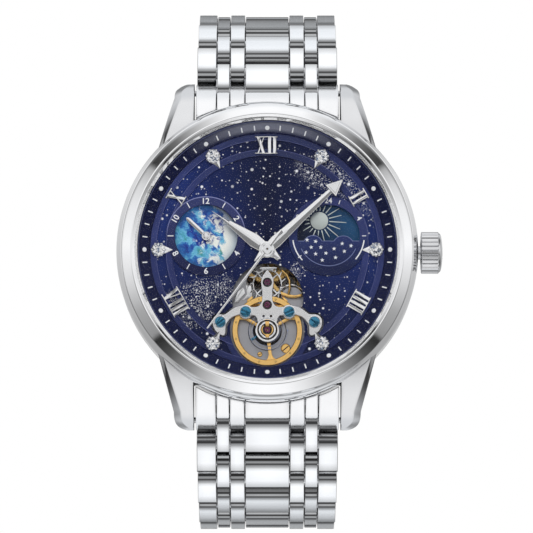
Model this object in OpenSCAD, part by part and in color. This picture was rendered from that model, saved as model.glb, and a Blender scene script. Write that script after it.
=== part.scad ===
// Open-heart wristwatch in its closed bracelet loop.
// The watch stands upright: +X points to the crown at 3 o'clock, +Z to 12 o'clock, and the dial faces -Y.
// The origin is the centre of the case back's outer face.
// Pieces are drawn in the dial's own frame, with x to 3 o'clock, y to 12 o'clock and z out of the dial.

/* [Case] */
// Diameter of the case's flank
case_d = 41; // [40.8:0.1:42]
// Height of the flank's upper edge above the case back
flank_top = 8.3; // [8:0.1:8.6]
// Width of the sloped shoulder between the flank and the bezel's seam
flank_w = 0.75; // [0.6:0.05:0.9]
// Width of the bezel between its seam and the crystal
bezel_w = 1.8; // [1.7:0.05:1.9]
// Thickness of the case back
back_t = 1.3; // [1.2:0.05:1.4]
// Distance between the flank and the edge of the case back
back_edge = 3.1; // [2.9:0.1:3.4]
// Visible diameter of the case back's window
back_view_d = 24; // [20:0.5:28]
// Thickness of the case back's window
back_window_t = 0.9; // [0.7:0.05:1]
// Thickness of the crystal at its edge
crystal_t = 0.9; // [0.7:0.05:1.1]
// Height of the crystal's dome above its edge
crystal_dome = 0.35; // [0.1:0.05:0.6]
// Height of the bezel above the seam
bezel_h = 1.2; // [1.05:0.05:1.4]

/* [Lugs] */
// Gap between two lugs, which is the strap's width
lug_gap = 20; // [19.8:0.1:20.4]
// Reach of the lug tips past the case's flank
lug_l = 3.5; // [3.3:0.1:3.9]
// Outer edge of a lug near its tip, from the middle line
lug_tip_x = 12.74; // [12.4:0.1:13.2]
// Outer edge of a lug at its root, from the middle line
lug_root_x = 14.8; // [14.4:0.1:15.2]
// Radius of the lugs' arched top
lug_arch_r = 14.15; // [14.1:0.05:14.25]
// Width of the polished bevel along a lug's outer edge
lug_bevel = 0.6; // [0.3:0.05:0.8]
// Diameter of the spring bars
spring_bar_d = 1.5; // [1.3:0.05:1.6]
// Diameter of the spring bars' tips
spring_tip_d = 0.8; // [0.7:0.05:0.9]

/* [Crown] */
// Diameter of the crown
crown_d = 5.7; // [5.2:0.1:6]
// Length of the crown
crown_l = 3; // [2.8:0.1:3.4]
// Number of flutes around the crown
crown_flutes = 28; // [20:1:30]
// Outer diameter of the crown tube
tube_d = 1.8; // [1.7:0.05:1.9]
// Diameter of the winding stem
stem_d = 0.9; // [0.8:0.05:0.95]
// Distance that the crown pulls out
crown_travel = 1.2; // [0.8:0.1:1.4]

/* [Movement] */
// Distance between the edges of the crystal and of the main plate
plate_edge = 1.45; // [1.35:0.05:1.6]
// Thickness of the main plate
plate_t = 0.7; // [0.6:0.05:0.8]
// Distance between the edges of the main plate and of the train bridge
bridge_edge = 0.7; // [0.6:0.05:0.9]
// Thickness of the train bridge
bridge_t = 1; // [0.9:0.05:1.1]
// Height of the space for the going train
train_space = 2.1; // [2.05:0.05:2.2]
// Height of the space between main plate and dial
motion_space = 1.9; // [1.85:0.05:2]
// Thickness of the rotor
rotor_t = 1.3; // [1:0.05:1.4]
// Distance between the edges of the train bridge and of the rotor
rotor_edge = 0.3; // [0.2:0.05:0.9]
// Outer diameter of the jewels
jewel_d = 0.84; // [0.76:0.02:0.9]
// Diameter of the pivots that turn in the jewels
pivot_d = 0.18; // [0.16:0.01:0.22]
// Diameter of the arbors between their pivots
arbor_d = 0.3; // [0.26:0.01:0.34]
// Clearance of a pivot or shaft in its bore, on the radius
run_gap = 0.02; // [0.015:0.005:0.03]

/* [Balance] */
// Distance of the balance staff below the dial's centre
balance_y = 10.88; // [10.84:0.02:10.94]
// Outer diameter of the balance rim
balance_d = 9.5; // [9.2:0.1:9.6]
// Radial width of the balance rim
rim_w = 0.75; // [0.5:0.05:0.8]
// Distance of the escape arbor below the dial's centre
escape_y = 4.41; // [4.38:0.01:4.44]
// Outer diameter of the escape wheel
escape_d = 5.2; // [5.1:0.05:5.25]
// Distance of the pallet fork's staff below the dial's centre
fork_y = 7.47; // [7.45:0.01:7.5]
// Swing of the pallet fork to each side
fork_swing = 6; // [4:0.5:6]
// Width of the balance bridge's column
column_w = 1.4; // [1.3:0.05:1.5]
// Thickness of the balance bridge
balance_bridge_t = 0.65; // [0.55:0.05:0.7]
// Distance between two turns of the hairspring
spring_pitch = 0.5; // [0.48:0.01:0.52]
// Thickness of the hairspring's strip
spring_t = 0.06; // [0.05:0.01:0.08]

/* [Dial] */
// Thickness of the dial
dial_t = 0.4; // [0.35:0.05:0.45]
// Height of the raised rings on the dial
ring_h = 0.2; // [0.15:0.05:0.25]
// Width of the sloped chapter ring
chapter_w = 2.08; // [2:0.02:2.12]
// Height of the chapter ring's slope
chapter_h = 0.95; // [0.8:0.05:1]
// Width of the outer raised band
band_w = 0.85; // [0.75:0.05:0.95]
// Width of the sunken track between the raised bands
track_w = 1.3; // [1.2:0.05:1.4]
// Width of the inner raised band
inner_band_w = 0.85; // [0.75:0.05:0.95]
// Distance of the two small dials from the middle line
small_dial_x = 8.3; // [8.2:0.05:8.4]
// Height of the two small dials above the dial's centre
small_dial_y = 1.9; // [1.8:0.05:2]
// Radius of the small dials' windows
window_r = 4.25; // [4.1:0.05:4.3]
// Outer radius of the small dials' rings
small_ring_r = 5.4; // [5.2:0.05:5.5]
// Length of an applied numeral along its radius
numeral_l = 2.4; // [2:0.05:2.5]
// Height of the applied numerals
numeral_h = 0.25; // [0.15:0.05:0.3]
// Diameter of the pear gems' round end
gem_d = 1.5; // [1.3:0.05:1.6]

/* [Hands] */
// Length of the hour hand
hour_l = 9.2; // [8.8:0.1:9.8]
// Length of the minute hand
minute_l = 14.05; // [13.4:0.1:14.6]
// Length of the second hand
second_l = 13.5; // [13:0.1:14.6]
// Length of the second time zone's hand
dual_l = 3.66; // [3.2:0.1:3.9]
// Thickness of a hand
hand_t = 0.2; // [0.15:0.05:0.22]
// Diameter of the centre wheel's tube
center_tube_d = 1; // [0.9:0.05:1]
// Diameter of the second hand's arbor
second_arbor_d = 0.44; // [0.36:0.02:0.46]

/* [Bracelet] */
// Distance between two hinges of the bracelet
link_pitch = 6; // [5.9:0.05:6.2]
// Thickness of the bracelet
link_t = 3; // [2.8:0.05:3.1]
// Half width of the centre column
col_1 = 3; // [2.9:0.05:3.1]
// Outer edge of the inner narrow column, from the middle line
col_2 = 5.08; // [5:0.02:5.2]
// Outer edge of the outer narrow column, from the middle line
col_3 = 6.9; // [6.8:0.05:7]
// Gap between two columns
col_gap = 0.12; // [0.08:0.01:0.15]
// Narrowing of the bracelet at each link, on each side
link_taper = 0.09; // [0.05:0.01:0.1]
// Diameter of the link pins
pin_d = 1; // [0.8:0.05:1.1]
// Slope of the first link
first_slope = 33; // [31:0.5:34]
// Turn from each link to the next
link_turn = 16.4; // [16:0.1:16.6]

/* [Clasp] */
// Thickness of the clasp's cover
cover_t = 1.4; // [1.2:0.05:1.5]
// Thickness of the clasp's blades
blade_t = 0.8; // [0.6:0.05:0.85]
// Half width of the clasp's blades
blade_x = 6; // [5:0.1:6.4]
// Diameter of the clasp's hinge pins
clasp_pin_d = 0.9; // [0.7:0.05:1]

/* [Hidden] */
LINKS = 8;
$fn = 96;

STEEL = [0.83, 0.84, 0.86];
DARK_STEEL = [0.45, 0.46, 0.5];
GOLD = [0.86, 0.66, 0.3];
NAVY = [0.07, 0.08, 0.3];
VIOLET_BLUE = [0.2, 0.2, 0.45];
BLUE_SCREW = [0.1, 0.2, 0.75];
RUBY = [0.8, 0.1, 0.2];
RUBBER = [0.1, 0.1, 0.1];

// Heights above the case back's outer face, from the back to the crystal
rotor_z = back_t + 0.3;
bridge_z = rotor_z + rotor_t + 0.3;
train_z = bridge_z + bridge_t;
plate_z = train_z + train_space;
plate_top = plate_z + plate_t;
dial_z = plate_top + motion_space;
dial_top = dial_z + dial_t;
ring_top = dial_top + ring_h;
seam_z = dial_top + chapter_h + 0.15;
crystal_z = seam_z + 0.4;
hour_z = ring_top + 0.18;
minute_z = hour_z + hand_t + 0.2;
second_z = minute_z + hand_t + 0.12;

// Case
case_r = case_d / 2;
seam_r = case_r - flank_w;
crystal_r = seam_r - bezel_w;
crystal_seat_r = crystal_r - 0.35;
dial_r = crystal_r + 0.03;
chapter_r = dial_r - chapter_w;
band_r = chapter_r - band_w;
inner_band_r = band_r - track_w;
field_r = inner_band_r - inner_band_w;
plate_r = crystal_r - plate_edge;
plate_seat = 0.5;
bridge_r = plate_r - bridge_edge;
rotor_r = bridge_r - rotor_edge;
back_r = case_r - back_edge;
back_view_r = back_view_d / 2;
gasket_w = 0.5;
slip = 0.05;

// Lugs and the pivot of the first link
lug_in = lug_gap / 2;
lug_reach = case_r + lug_l;
lug_arch_y = case_r - 9.5;
lug_arch_z = 9.55 - lug_arch_r;
lug_edge_y = lug_reach - 2.4;
lug_root_y = case_r - 8.5;
bar_y = lug_reach - 1.45;
bar_z = 1.6;
spring_bar_r = spring_bar_d / 2;
spring_tip_r = spring_tip_d / 2;
tip_depth = 1;
link_r = link_t / 2;
pin_r = pin_d / 2;

// Crown and stem
crown_z = (train_z + plate_z) / 2 + 0.45;
crown_x = case_r + 0.4;
tube_r = tube_d / 2;
stem_r = stem_d / 2;

// Wheels: teeth of each pair, and places of the arbors
CENTER_TEETH = 80;
THIRD_PINION = 10;
THIRD_TEETH = 75;
FOURTH_PINION = 10;
FOURTH_TEETH = 80;
ESCAPE_PINION = 8;
CANNON_TEETH = 12;
MINUTE_TEETH = 36;
MINUTE_PINION = 10;
HOUR_TEETH = 40;
CENTER_PINION = 12;
BARREL_TEETH = 84;
ESCAPE_TEETH = 15;
third_at = [3.9, -2.2];
barrel_at = [-5.35, 6.41];
minute_at = [0, 2.4];
escape_at = [0, -escape_y];
fork_at = [0, -fork_y];
balance_at = [0, -balance_y];
jewel_r = jewel_d / 2;
pivot_r = pivot_d / 2;
arbor_r = arbor_d / 2;
center_tube_r = center_tube_d / 2;
second_arbor_r = second_arbor_d / 2;
hour_tube_r = center_tube_r + 0.25;
wheel_t = 0.2;
fourth_z = train_z + 0.15;
third_z = fourth_z + 0.37;
center_z = third_z + 0.6;
barrel_z = center_z + 0.4;
escape_z = plate_top + 0.2;
fork_t = 0.25;
roller_z = escape_z + fork_t + 0.05;
balance_z = roller_z + 0.4;
rim_t = 0.45;
hairspring_z = balance_z + rim_t + 0.03;
balance_bridge_z = dial_z - 0.25;
balance_bridge_top = balance_bridge_z + balance_bridge_t;
bridge_hub_r = 1.62;
bridge_room = 0.2;

// Places of the balance bridge's screws, right half
INNER_SCREW = [2.94, -8.42];
OUTER_SCREW = [6.38, -9.8];
screw_head_r = 0.7;
screw_shank_r = 0.35;
inner_pad_r = 0.97;
outer_pad_r = 1.07;

// Bracelet
function slope(k) = first_slope + link_turn * (k - 1);
function hinge_y(k) = k == 0 ? bar_y : hinge_y(k - 1) + link_pitch * cos(slope(k));
function hinge_z(k) = k == 0 ? bar_z : hinge_z(k - 1) - link_pitch * sin(slope(k));
end_x = lug_in - 0.15;
function outer_x(k) = end_x - 0.1 - link_taper * k;
NEAR_END = -0.25;
FAR_END = 0.75;
link_gap = 0.1;

// Clasp: its plates follow an arc that carries on from the last links
clasp_turn = 180 - slope(LINKS + 1);
clasp_arc_r = hinge_y(LINKS) / sin(clasp_turn);
clasp_arc_z = hinge_z(LINKS) + clasp_arc_r * cos(clasp_turn);
cover_reach = clasp_turn - 1.3;
blade_hinge_turn = 11.5;
cover_hinge_turn = -13.2;
clasp_pin_r = clasp_pin_d / 2;
knuckle_r = 0.9;
middle_r0 = clasp_arc_r - 0.1 - blade_t;
inner_r0 = clasp_arc_r - 1.2 - blade_t;
blade_hinge_r = clasp_arc_r - 1.05;
cover_hinge_r = clasp_arc_r - 0.2;
knuckle_x = 2;

// Turns the dial's frame into the upright watch
module upright() {
    rotate([90, 0, 0]) children();
}

// Ring or disc about the z axis
module ring(r_in, r_out, z0, z1) {
    rotate_extrude() translate([r_in, z0]) square([r_out - r_in, z1 - z0]);
}

module disc(r, z0, z1) {
    translate([0, 0, z0]) cylinder(r = r, h = z1 - z0);
}

// Extrudes a drawing of the y-z plane from x0 to x1
module along_x(x0, x1) {
    translate([x0, 0, 0]) rotate([90, 0, 90]) linear_extrude(x1 - x0) children();
}

module rod_x(x0, x1, y, z, r) {
    translate([x0, y, z]) rotate([0, 90, 0]) cylinder(r = r, h = x1 - x0);
}

module both_sides() {
    children();
    mirror([1, 0, 0]) children();
}

module both_ends() {
    children();
    mirror([0, 1, 0]) children();
}

// Arc of points, for an outline
function arc(c, r, a0, a1, n) =
    [for (i = [0:n]) c + r * [cos(a0 + (a1 - a0) * i / n), sin(a0 + (a1 - a0) * i / n)]];

// One lug, at the crown's side of 12 o'clock
lug_edge_l = lug_l + 4.1;
function lug_edge_x(y) = lug_tip_x + (lug_root_x - lug_tip_x) * (lug_edge_y - y) / lug_edge_l;

module lug() {
    edge_turn = atan((lug_root_x - lug_tip_x) / lug_edge_l);
    bevel_y = lug_arch_y + 0.155;
    bevel_r = lug_arch_r + 0.53;
    difference() {
        intersection() {
            linear_extrude(12) polygon([[lug_in, lug_root_y], [lug_in, lug_reach],
                [lug_tip_x - 1.5, lug_reach - 0.15], [lug_tip_x - 0.8, lug_reach - 0.45], [lug_tip_x - 0.38, lug_reach - 1],
                [lug_tip_x, lug_edge_y], [lug_edge_x(lug_root_y), lug_root_y]]);
            along_x(lug_in - 1, lug_root_x + 1) polygon([[lug_root_y - 2, 1.2], [lug_root_y + 2, 0.75],
                [lug_reach - 0.8, 0.45], [lug_reach - 0.15, 0.85], [lug_reach, 1.5], [lug_reach - 0.94, 2.9],
                [lug_reach - 0.94, 12], [lug_root_y - 2, 12]]);
            rod_x(lug_in - 1, lug_root_x + 1, lug_arch_y, lug_arch_z, lug_arch_r);
            translate([lug_edge_x(bevel_y), bevel_y, lug_arch_z - 0.55])
                rotate([0, 0, edge_turn]) rotate([0, 90, 0]) rotate_extrude()
                    polygon([[0, -lug_root_x - 2], [bevel_r, -lug_root_x - 2], [bevel_r, -lug_bevel],
                        [bevel_r - lug_bevel * 0.85, 0], [0, 0]]);
        }
        disc(seam_r - 0.6, -1, 13);
    }
}

module mid_case() color(STEEL) upright() difference() {
    union() {
        rotate_extrude() polygon([
            [back_r + slip, 0.6], [case_r - 1.3, 0.6], [case_r - 0.3, 1.6], [case_r, 2.4], [case_r, flank_top],
            [case_r - 0.33, flank_top + 1.1], [seam_r, seam_z],
            [dial_r + slip, seam_z], [dial_r + slip, dial_z], [plate_r + slip, dial_z], [plate_r + slip, plate_z],
            [plate_r - plate_seat, plate_z], [plate_r - plate_seat, back_t + 0.05], [back_r + slip, back_t + 0.05]]);
        both_sides() both_ends() lug();
    }
    // Groove of the back gasket, bore of the crown tube and holes for the spring bars
    ring(back_r - 0.2 - gasket_w - slip, back_r - 0.2 + slip, back_t - 1, back_t + 0.45);
    rod_x(plate_r - 2, case_r + 1, 0, crown_z, tube_r);
    both_sides() both_ends() rod_x(lug_in - 1, lug_in + tip_depth, bar_y, bar_z, spring_tip_r + run_gap);
}

module bezel() color(STEEL) upright() rotate_extrude() polygon([
    [crystal_seat_r, seam_z], [seam_r, seam_z], [seam_r - 0.06, seam_z + 0.12],
    [crystal_r + 0.5, seam_z + bezel_h - 0.02], [crystal_r + 0.4, seam_z + bezel_h],
    [crystal_r + 0.04, seam_z + bezel_h - 0.3], [crystal_r + 0.04, crystal_z], [crystal_seat_r, crystal_z]]);

module crystal() color([0.85, 0.9, 0.95, 0.35]) upright() {
    edge_top = crystal_z + crystal_t;
    dome_r = (crystal_r * crystal_r + crystal_dome * crystal_dome) / (2 * crystal_dome);
    dome_turn = asin(crystal_r / dome_r);
    rotate_extrude() polygon(concat([[0, crystal_z], [crystal_r, crystal_z]],
        [for (i = [0:8]) let (a = dome_turn * (8 - i) / 8)
            [dome_r * sin(a), edge_top + crystal_dome - dome_r * (1 - cos(a))]]));
}

module chapter_ring() color(NAVY) upright() rotate_extrude() polygon([
    [chapter_r, dial_top], [dial_r, dial_top], [dial_r, dial_top + chapter_h],
    [crystal_seat_r, dial_top + chapter_h], [chapter_r + 0.05, dial_top + 0.12], [chapter_r, dial_top + 0.12]]);

// Right half of the balance bridge's outline: pointed column, arm, foot and back to the hub
BRIDGE_HALF = concat(
    [[0, -2.64], [0.6, -3.45], [0.82, -4], [0.86, -4.5], [column_w / 2, -5.5], [column_w / 2, -6.8],
     [0.85, -7.3], [1.15, -7.62], [1.6, -7.76]],
    arc(INNER_SCREW, inner_pad_r, 135, 70, 6),
    [[4.3, -7.78], [4.8, -8.05], [5.2, -8.38], [5.65, -8.72]],
    arc(OUTER_SCREW, outer_pad_r, 100, -10, 10),
    [[7.36, -10.5], [7.05, -11.05], [6.55, -11.5], [6.1, -11.68], [5.8, -11.66], [5.66, -11.4], [5.6, -10.4],
     [5.42, -9.95], [5.1, -9.5], [4.7, -9.15], [4.2, -8.95]],
    arc(INNER_SCREW, inner_pad_r, -25, -150, 10),
    [[1.7, -8.98], [1.42, -9.3], [1.3, -9.8], [0, -10.5]]);

// Moves each point of an outline outwards by a distance
function grown(points, d) = [for (i = [0:len(points) - 1]) let (
    before = points[max(i - 1, 0)],
    after = points[min(i + 1, len(points) - 1)],
    along = (after - before) / norm(after - before))
    points[i] + d * [-along.y, along.x]];

module bridge_outline(room) {
    both_sides() polygon(concat([[-0.01, BRIDGE_HALF[0].y]], grown(BRIDGE_HALF, room), [[-0.01, -10.5]]));
    translate(balance_at) circle(r = bridge_hub_r + room);
}

// Dial: disc with two raised bands and a raised rim around the balance, all with one top face
balance_window_r = 5.03;
balance_rim_w = 0.75;
TRAIN_WINDOW = [0.05, -6.62, 4.82];

module dial() color(NAVY) upright() difference() {
    union() {
        disc(dial_r, dial_z, dial_top);
        difference() {
            union() {
                ring(band_r, chapter_r - slip, dial_top - 0.1, ring_top);
                ring(field_r, inner_band_r, dial_top - 0.1, ring_top);
                intersection() {
                    translate([balance_at.x, balance_at.y, 0])
                        ring(balance_window_r - 1, balance_window_r + balance_rim_w, dial_top - 0.1, ring_top);
                    ring(field_r + 0.1, chapter_r - slip - 0.1, dial_top - 0.2, ring_top + 1);
                }
            }
            both_sides() translate([small_dial_x, small_dial_y, dial_top])
                cylinder(r = small_ring_r + slip, h = 1);
        }
    }
    disc(hour_tube_r + 0.3, dial_z - 1, dial_top + 1);
    both_sides() translate([small_dial_x, small_dial_y, dial_z - 1]) cylinder(r = window_r, h = 4);
    translate([TRAIN_WINDOW.x, TRAIN_WINDOW.y, dial_z - 1]) cylinder(r = TRAIN_WINDOW.z, h = 4);
    translate([balance_at.x, balance_at.y, dial_z - 1]) cylinder(r = balance_window_r, h = 4);
    translate([0, 0, dial_z - 1]) linear_extrude(4) bridge_outline(bridge_room);
}

// Applied numerals: each is drawn with its foot towards the dial's centre, in a cell one unit high
module stroke(x0, x1, w) {
    l = numeral_l;
    polygon([[x0 - w / 2, -l / 2], [x0 + w / 2, -l / 2], [x1 + w / 2, l / 2], [x1 - w / 2, l / 2]]);
}

module serifs(x0, x1) {
    for (end = [-1, 1])
        translate([x0, end > 0 ? numeral_l / 2 - 0.14 : -numeral_l / 2]) square([x1 - x0, 0.14]);
}

THICK = 0.42;
THIN = 0.16;
module numeral_i(x) stroke(x, x, THICK);
module numeral_v(x) {
    stroke(x, x - 0.42, THICK);
    stroke(x, x + 0.42, THIN);
}
module numeral_x(x) {
    stroke(x + 0.42, x - 0.42, THICK);
    stroke(x - 0.42, x + 0.42, THIN);
}

module numeral_ii() {
    numeral_i(-0.4);
    numeral_i(0.4);
    serifs(-0.8, 0.8);
}

module numeral_iiii() {
    for (i = [-1.5:1.5]) numeral_i(i * 0.68);
    serifs(-1.4, 1.4);
}

module numeral_viii() {
    numeral_v(-1.1);
    for (i = [0:2]) numeral_i(0.05 + i * 0.66);
    serifs(-1.85, 1.75);
}

module numeral_x_alone() {
    numeral_x(0);
    serifs(-0.8, 0.8);
}

module numeral_xii() {
    numeral_x(-0.85);
    numeral_i(0.3);
    numeral_i(1.0);
    serifs(-1.65, 1.4);
}

numeral_r = (inner_band_r + band_r) / 2 - 0.1;

// Puts a numeral at an hour; a numeral of the lower half stands on its head so that it reads upright
module at_hour(h, head_in = false) {
    rotate([0, 0, -30 * h]) translate([0, numeral_r]) rotate([0, 0, head_in ? 180 : 0]) children();
}

module hour_numerals() color(STEEL) upright() translate([0, 0, ring_top]) {
    linear_extrude(numeral_h) at_hour(12) numeral_xii();
    linear_extrude(numeral_h) at_hour(2) numeral_ii();
    linear_extrude(numeral_h) at_hour(4, true) numeral_iiii();
    linear_extrude(numeral_h) at_hour(8, true) numeral_viii();
    linear_extrude(numeral_h) at_hour(10) numeral_x_alone();
}

GEM_HOURS = [1, 3, 5, 7, 9, 11];
gem_r = numeral_r + numeral_l / 2 + 0.2 - gem_d / 2;
setting_t = 0.12;

// A setting is a thin rim under the stone with a pointed tail towards the dial's centre
module gem_settings() color(STEEL) upright() for (h = GEM_HOURS)
    rotate([0, 0, -30 * h]) translate([0, gem_r, ring_top]) union() {
        cylinder(r = gem_d / 2 + 0.08, h = setting_t);
        linear_extrude(setting_t)
            polygon([[-gem_d / 2 + 0.12, -0.4], [0, -numeral_l + gem_d / 2 - 0.2], [gem_d / 2 - 0.12, -0.4]]);
    }

module hour_gems() color([0.85, 0.9, 1]) upright() for (h = GEM_HOURS) rotate([0, 0, -30 * h])
    translate([0, gem_r, ring_top + setting_t]) rotate_extrude()
        polygon([[0, 0], [gem_d / 2, 0], [gem_d / 2, 0.08], [gem_d * 0.3, 0.3], [0, 0.3]]);

module dual_time_ring() color(VIOLET_BLUE) upright() translate([-small_dial_x, small_dial_y, 0])
    ring(window_r, small_ring_r, dial_top, ring_top);

module globe_disc() color([0.25, 0.45, 0.6]) upright() translate([-small_dial_x, small_dial_y, 0])
    ring(arbor_r + 0.2, window_r + 0.35, dial_z - 0.45, dial_z - 0.1);

// The ring and, inside it, the horizon: two clouds above a night sky
module day_night_ring() color(VIOLET_BLUE) upright() translate([small_dial_x, small_dial_y, 0]) union() {
    ring(window_r, small_ring_r, dial_top, ring_top);
    intersection() {
        disc(window_r + 0.1, dial_top, dial_top + 0.12);
        linear_extrude(20) union() {
            translate([-5, -5]) square([10, 4.3]);
            translate([-2.1, -1.3]) circle(r = 1.35);
            translate([2, -1.5]) circle(r = 1.5);
        }
    }
}

module day_night_disc() color([0.3, 0.55, 0.7]) upright() translate([small_dial_x, small_dial_y, 0]) union() {
    disc(window_r + 0.25, dial_z - 0.55, dial_z - 0.25);
    disc(arbor_r, plate_top - 0.3, dial_z - 0.4);
}

// Main plate, with windows onto the going train, seats for jewels and a bore for each arbor
module main_plate() color(DARK_STEEL) upright() difference() {
    disc(plate_r, plate_z, plate_top);
    disc(center_tube_r + slip, plate_z - 1, plate_top + 1);
    translate([0, -escape_y, plate_z - 1]) cylinder(r = 2.85, h = 3);
    translate([2.9, -4.6, plate_z - 1]) cylinder(r = 2.2, h = 3);
    translate([balance_at.x, balance_at.y, plate_z - 1]) cylinder(r = jewel_r, h = 3);
    translate([fork_at.x, fork_at.y, plate_z - 1]) cylinder(r = pivot_r + run_gap, h = 3);
    translate([third_at.x, third_at.y, plate_z - 1]) cylinder(r = pivot_r + run_gap, h = 1.4);
    both_sides() translate([small_dial_x, small_dial_y, plate_top - 0.4]) cylinder(r = arbor_r + run_gap, h = 2);
    translate([minute_at.x, minute_at.y, plate_top - 0.4]) cylinder(r = pivot_r + run_gap, h = 2);
}

module balance_bridge() color(STEEL) upright() difference() {
    union() {
        translate([0, 0, balance_bridge_z]) linear_extrude(balance_bridge_t) bridge_outline(0);
        both_sides() translate([OUTER_SCREW.x, OUTER_SCREW.y, plate_top])
            cylinder(r = 0.9, h = balance_bridge_z - plate_top + 0.1);
    }
    for (p = [escape_at, fork_at, balance_at])
        translate([p.x, p.y, balance_bridge_z - 1]) cylinder(r = jewel_r, h = 3);
    both_sides() {
        translate([INNER_SCREW.x, INNER_SCREW.y, balance_bridge_z - 1]) cylinder(r = screw_shank_r, h = 3);
        translate([OUTER_SCREW.x, OUTER_SCREW.y, balance_bridge_top - 1.2]) cylinder(r = screw_shank_r, h = 3);
        translate([0.5, -9.02, balance_bridge_z - 1]) cylinder(r = 0.25, h = 3);
    }
}

module bridge_screw(depth) {
    head_h = 0.2;
    difference() {
        union() {
            disc(screw_head_r, 0, head_h);
            disc(screw_shank_r, -depth, 0.05);
        }
        translate([-1, -0.07, head_h - 0.1]) cube([2, 0.14, 1]);
    }
}

module bridge_screws() color(BLUE_SCREW) upright() both_sides() {
    translate([INNER_SCREW.x, INNER_SCREW.y, balance_bridge_top]) rotate([0, 0, 20]) bridge_screw(balance_bridge_t);
    translate([OUTER_SCREW.x, OUTER_SCREW.y, balance_bridge_top]) rotate([0, 0, -35]) bridge_screw(1.1);
}

// Jewels: rings of ruby, three in the balance bridge, one in the main plate and three in the train bridge
module jewel(at, z0, z1, hole_r = pivot_r + run_gap) {
    translate([at.x, at.y, 0]) ring(hole_r, jewel_r, z0, z1);
}

module jewels() color(RUBY) upright() {
    for (p = [escape_at, fork_at, balance_at]) jewel(p, balance_bridge_z + 0.05, balance_bridge_top);
    jewel(balance_at, plate_z + 0.05, plate_top);
    for (p = [escape_at, third_at]) jewel(p, bridge_z + 0.1, train_z);
    jewel([0, 0], bridge_z + 0.2, train_z, second_arbor_r + run_gap);
}

PILLAR_TURNS = [-30, -150, 48];
rotor_post_r = 0.8;

// Train bridge, with its pillars up to the main plate and the rotor's post on its back
module train_bridge() color(STEEL) upright() difference() {
    union() {
        disc(bridge_r, bridge_z, train_z);
        for (a = PILLAR_TURNS) rotate([0, 0, a]) translate([bridge_r - 1.6, 0, train_z - 0.1])
            cylinder(r = 0.9, h = train_space + 0.1);
        disc(rotor_post_r, rotor_z + 0.1, bridge_z + 0.1);
    }
    for (p = [escape_at, third_at]) translate([p.x, p.y, bridge_z + 0.1]) cylinder(r = jewel_r, h = 3);
    translate([0, 0, bridge_z + 0.2]) cylinder(r = jewel_r, h = 3);
    translate([barrel_at.x, barrel_at.y, train_z - 0.5]) cylinder(r = 0.5 + run_gap, h = 1);
}

module back_cover() color(STEEL) upright() difference() {
    rotate_extrude() polygon([
        [back_view_r, 0], [back_r - 0.2, 0], [back_r, 0.2], [back_r, back_t], [back_view_r + 0.4, back_t],
        [back_view_r + 0.4, back_window_t], [back_view_r, back_window_t]]);
    for (a = [0:60:300]) rotate([0, 0, a + 30]) translate([back_r - 1.6, -0.9, -0.5]) cube([1, 1.8, 1]);
}

module back_window() color([0.85, 0.9, 0.95, 0.35]) upright() disc(back_view_r, 0, back_window_t);

module back_gasket() color(RUBBER) upright()
    ring(back_r - 0.2 - gasket_w, back_r - 0.2, back_t, back_t + 0.4);

module crown_tube() color(STEEL) upright() difference() {
    rod_x(plate_r + 1, crown_x + 1.9, 0, crown_z, tube_r);
    rod_x(plate_r - 2, crown_x + 4, 0, crown_z, stem_r + 0.08);
}

// Flat spiral strip of points, as one outline
function spiral(r0, pitch, turns, t, per_turn) = concat(
    [for (i = [0:turns * per_turn]) let (a = 360 * i / per_turn, r = r0 + pitch * i / per_turn)
        (r + t / 2) * [cos(a), sin(a)]],
    [for (i = [turns * per_turn:-1:0]) let (a = 360 * i / per_turn, r = r0 + pitch * i / per_turn)
        (r - t / 2) * [cos(a), sin(a)]]);

HAIRSPRING_TURNS = 4;
hairspring_r0 = 0.75;
echo(hairspring_gap = spring_pitch - spring_t);

module hairspring() color([0.3, 0.35, 0.6]) upright() translate([balance_at.x, balance_at.y, 0]) {
    stud_r = hairspring_r0 + spring_pitch * HAIRSPRING_TURNS;
    union() {
        translate([0, 0, hairspring_z]) linear_extrude(0.16)
            polygon(spiral(hairspring_r0, spring_pitch, HAIRSPRING_TURNS, spring_t, 40));
        translate([stud_r - 0.12, -0.12, hairspring_z]) cube([0.24, 0.24, 0.16]);
    }
}

// Bars of a link: s runs along the link from its hinge, and the near end is round
function bar_outline(s0, s1) = concat(
    arc([s0 + link_r, 0], link_r, 90, 270, 16),
    [[s1 - 0.12, -link_r], [s1, -link_r + 0.12], [s1, link_r - 0.12], [s1 - 0.12, link_r]]);

module link_bar(x0, x1, s0, s1, holes) difference() {
    along_x(x0, x1) polygon(bar_outline(s0, s1));
    for (h = holes) rod_x(x0 - 1, x1 + 1, h[0], 0, h[1]);
}

function is_odd_column(i) = i % 2 == 1;

// Columns of the right half, each as [inner edge, outer edge]: broad middle, narrow, narrow, outer
function columns(k) = [[0, col_1], [col_1 + col_gap, col_2], [col_2 + col_gap, col_3], [col_3 + col_gap, outer_x(k)]];

module link(k) {
    near_r = k == 1 ? spring_bar_r + slip : pin_r + run_gap;
    far_r = pin_r + run_gap;
    web_x = outer_x(k) - 0.5;
    union() {
        both_sides() for (i = [0:3]) {
            c = columns(k)[i];
            x0 = i == 0 ? -0.01 : c[0];
            if (is_odd_column(i))
                difference() {
                    link_bar(x0, c[1], -NEAR_END * link_pitch + link_gap, (1 - NEAR_END) * link_pitch - link_gap, []);
                    // The outer bars hide the pin's ends
                    rod_x(x0 - 1, i == 3 ? c[1] - 0.8 : c[1] + 1, link_pitch, 0, far_r);
                }
            else
                link_bar(x0, c[1], NEAR_END * link_pitch + link_gap, FAR_END * link_pitch - link_gap, [[0, near_r]]);
        }
        translate([-web_x, 1.95, -0.8]) cube([2 * web_x, 2.1, 1.6]);
    }
    if (k > 1) rod_x(-outer_x(k - 1) + 0.9, outer_x(k - 1) - 0.9, 0, 0, pin_r);
}

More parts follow.
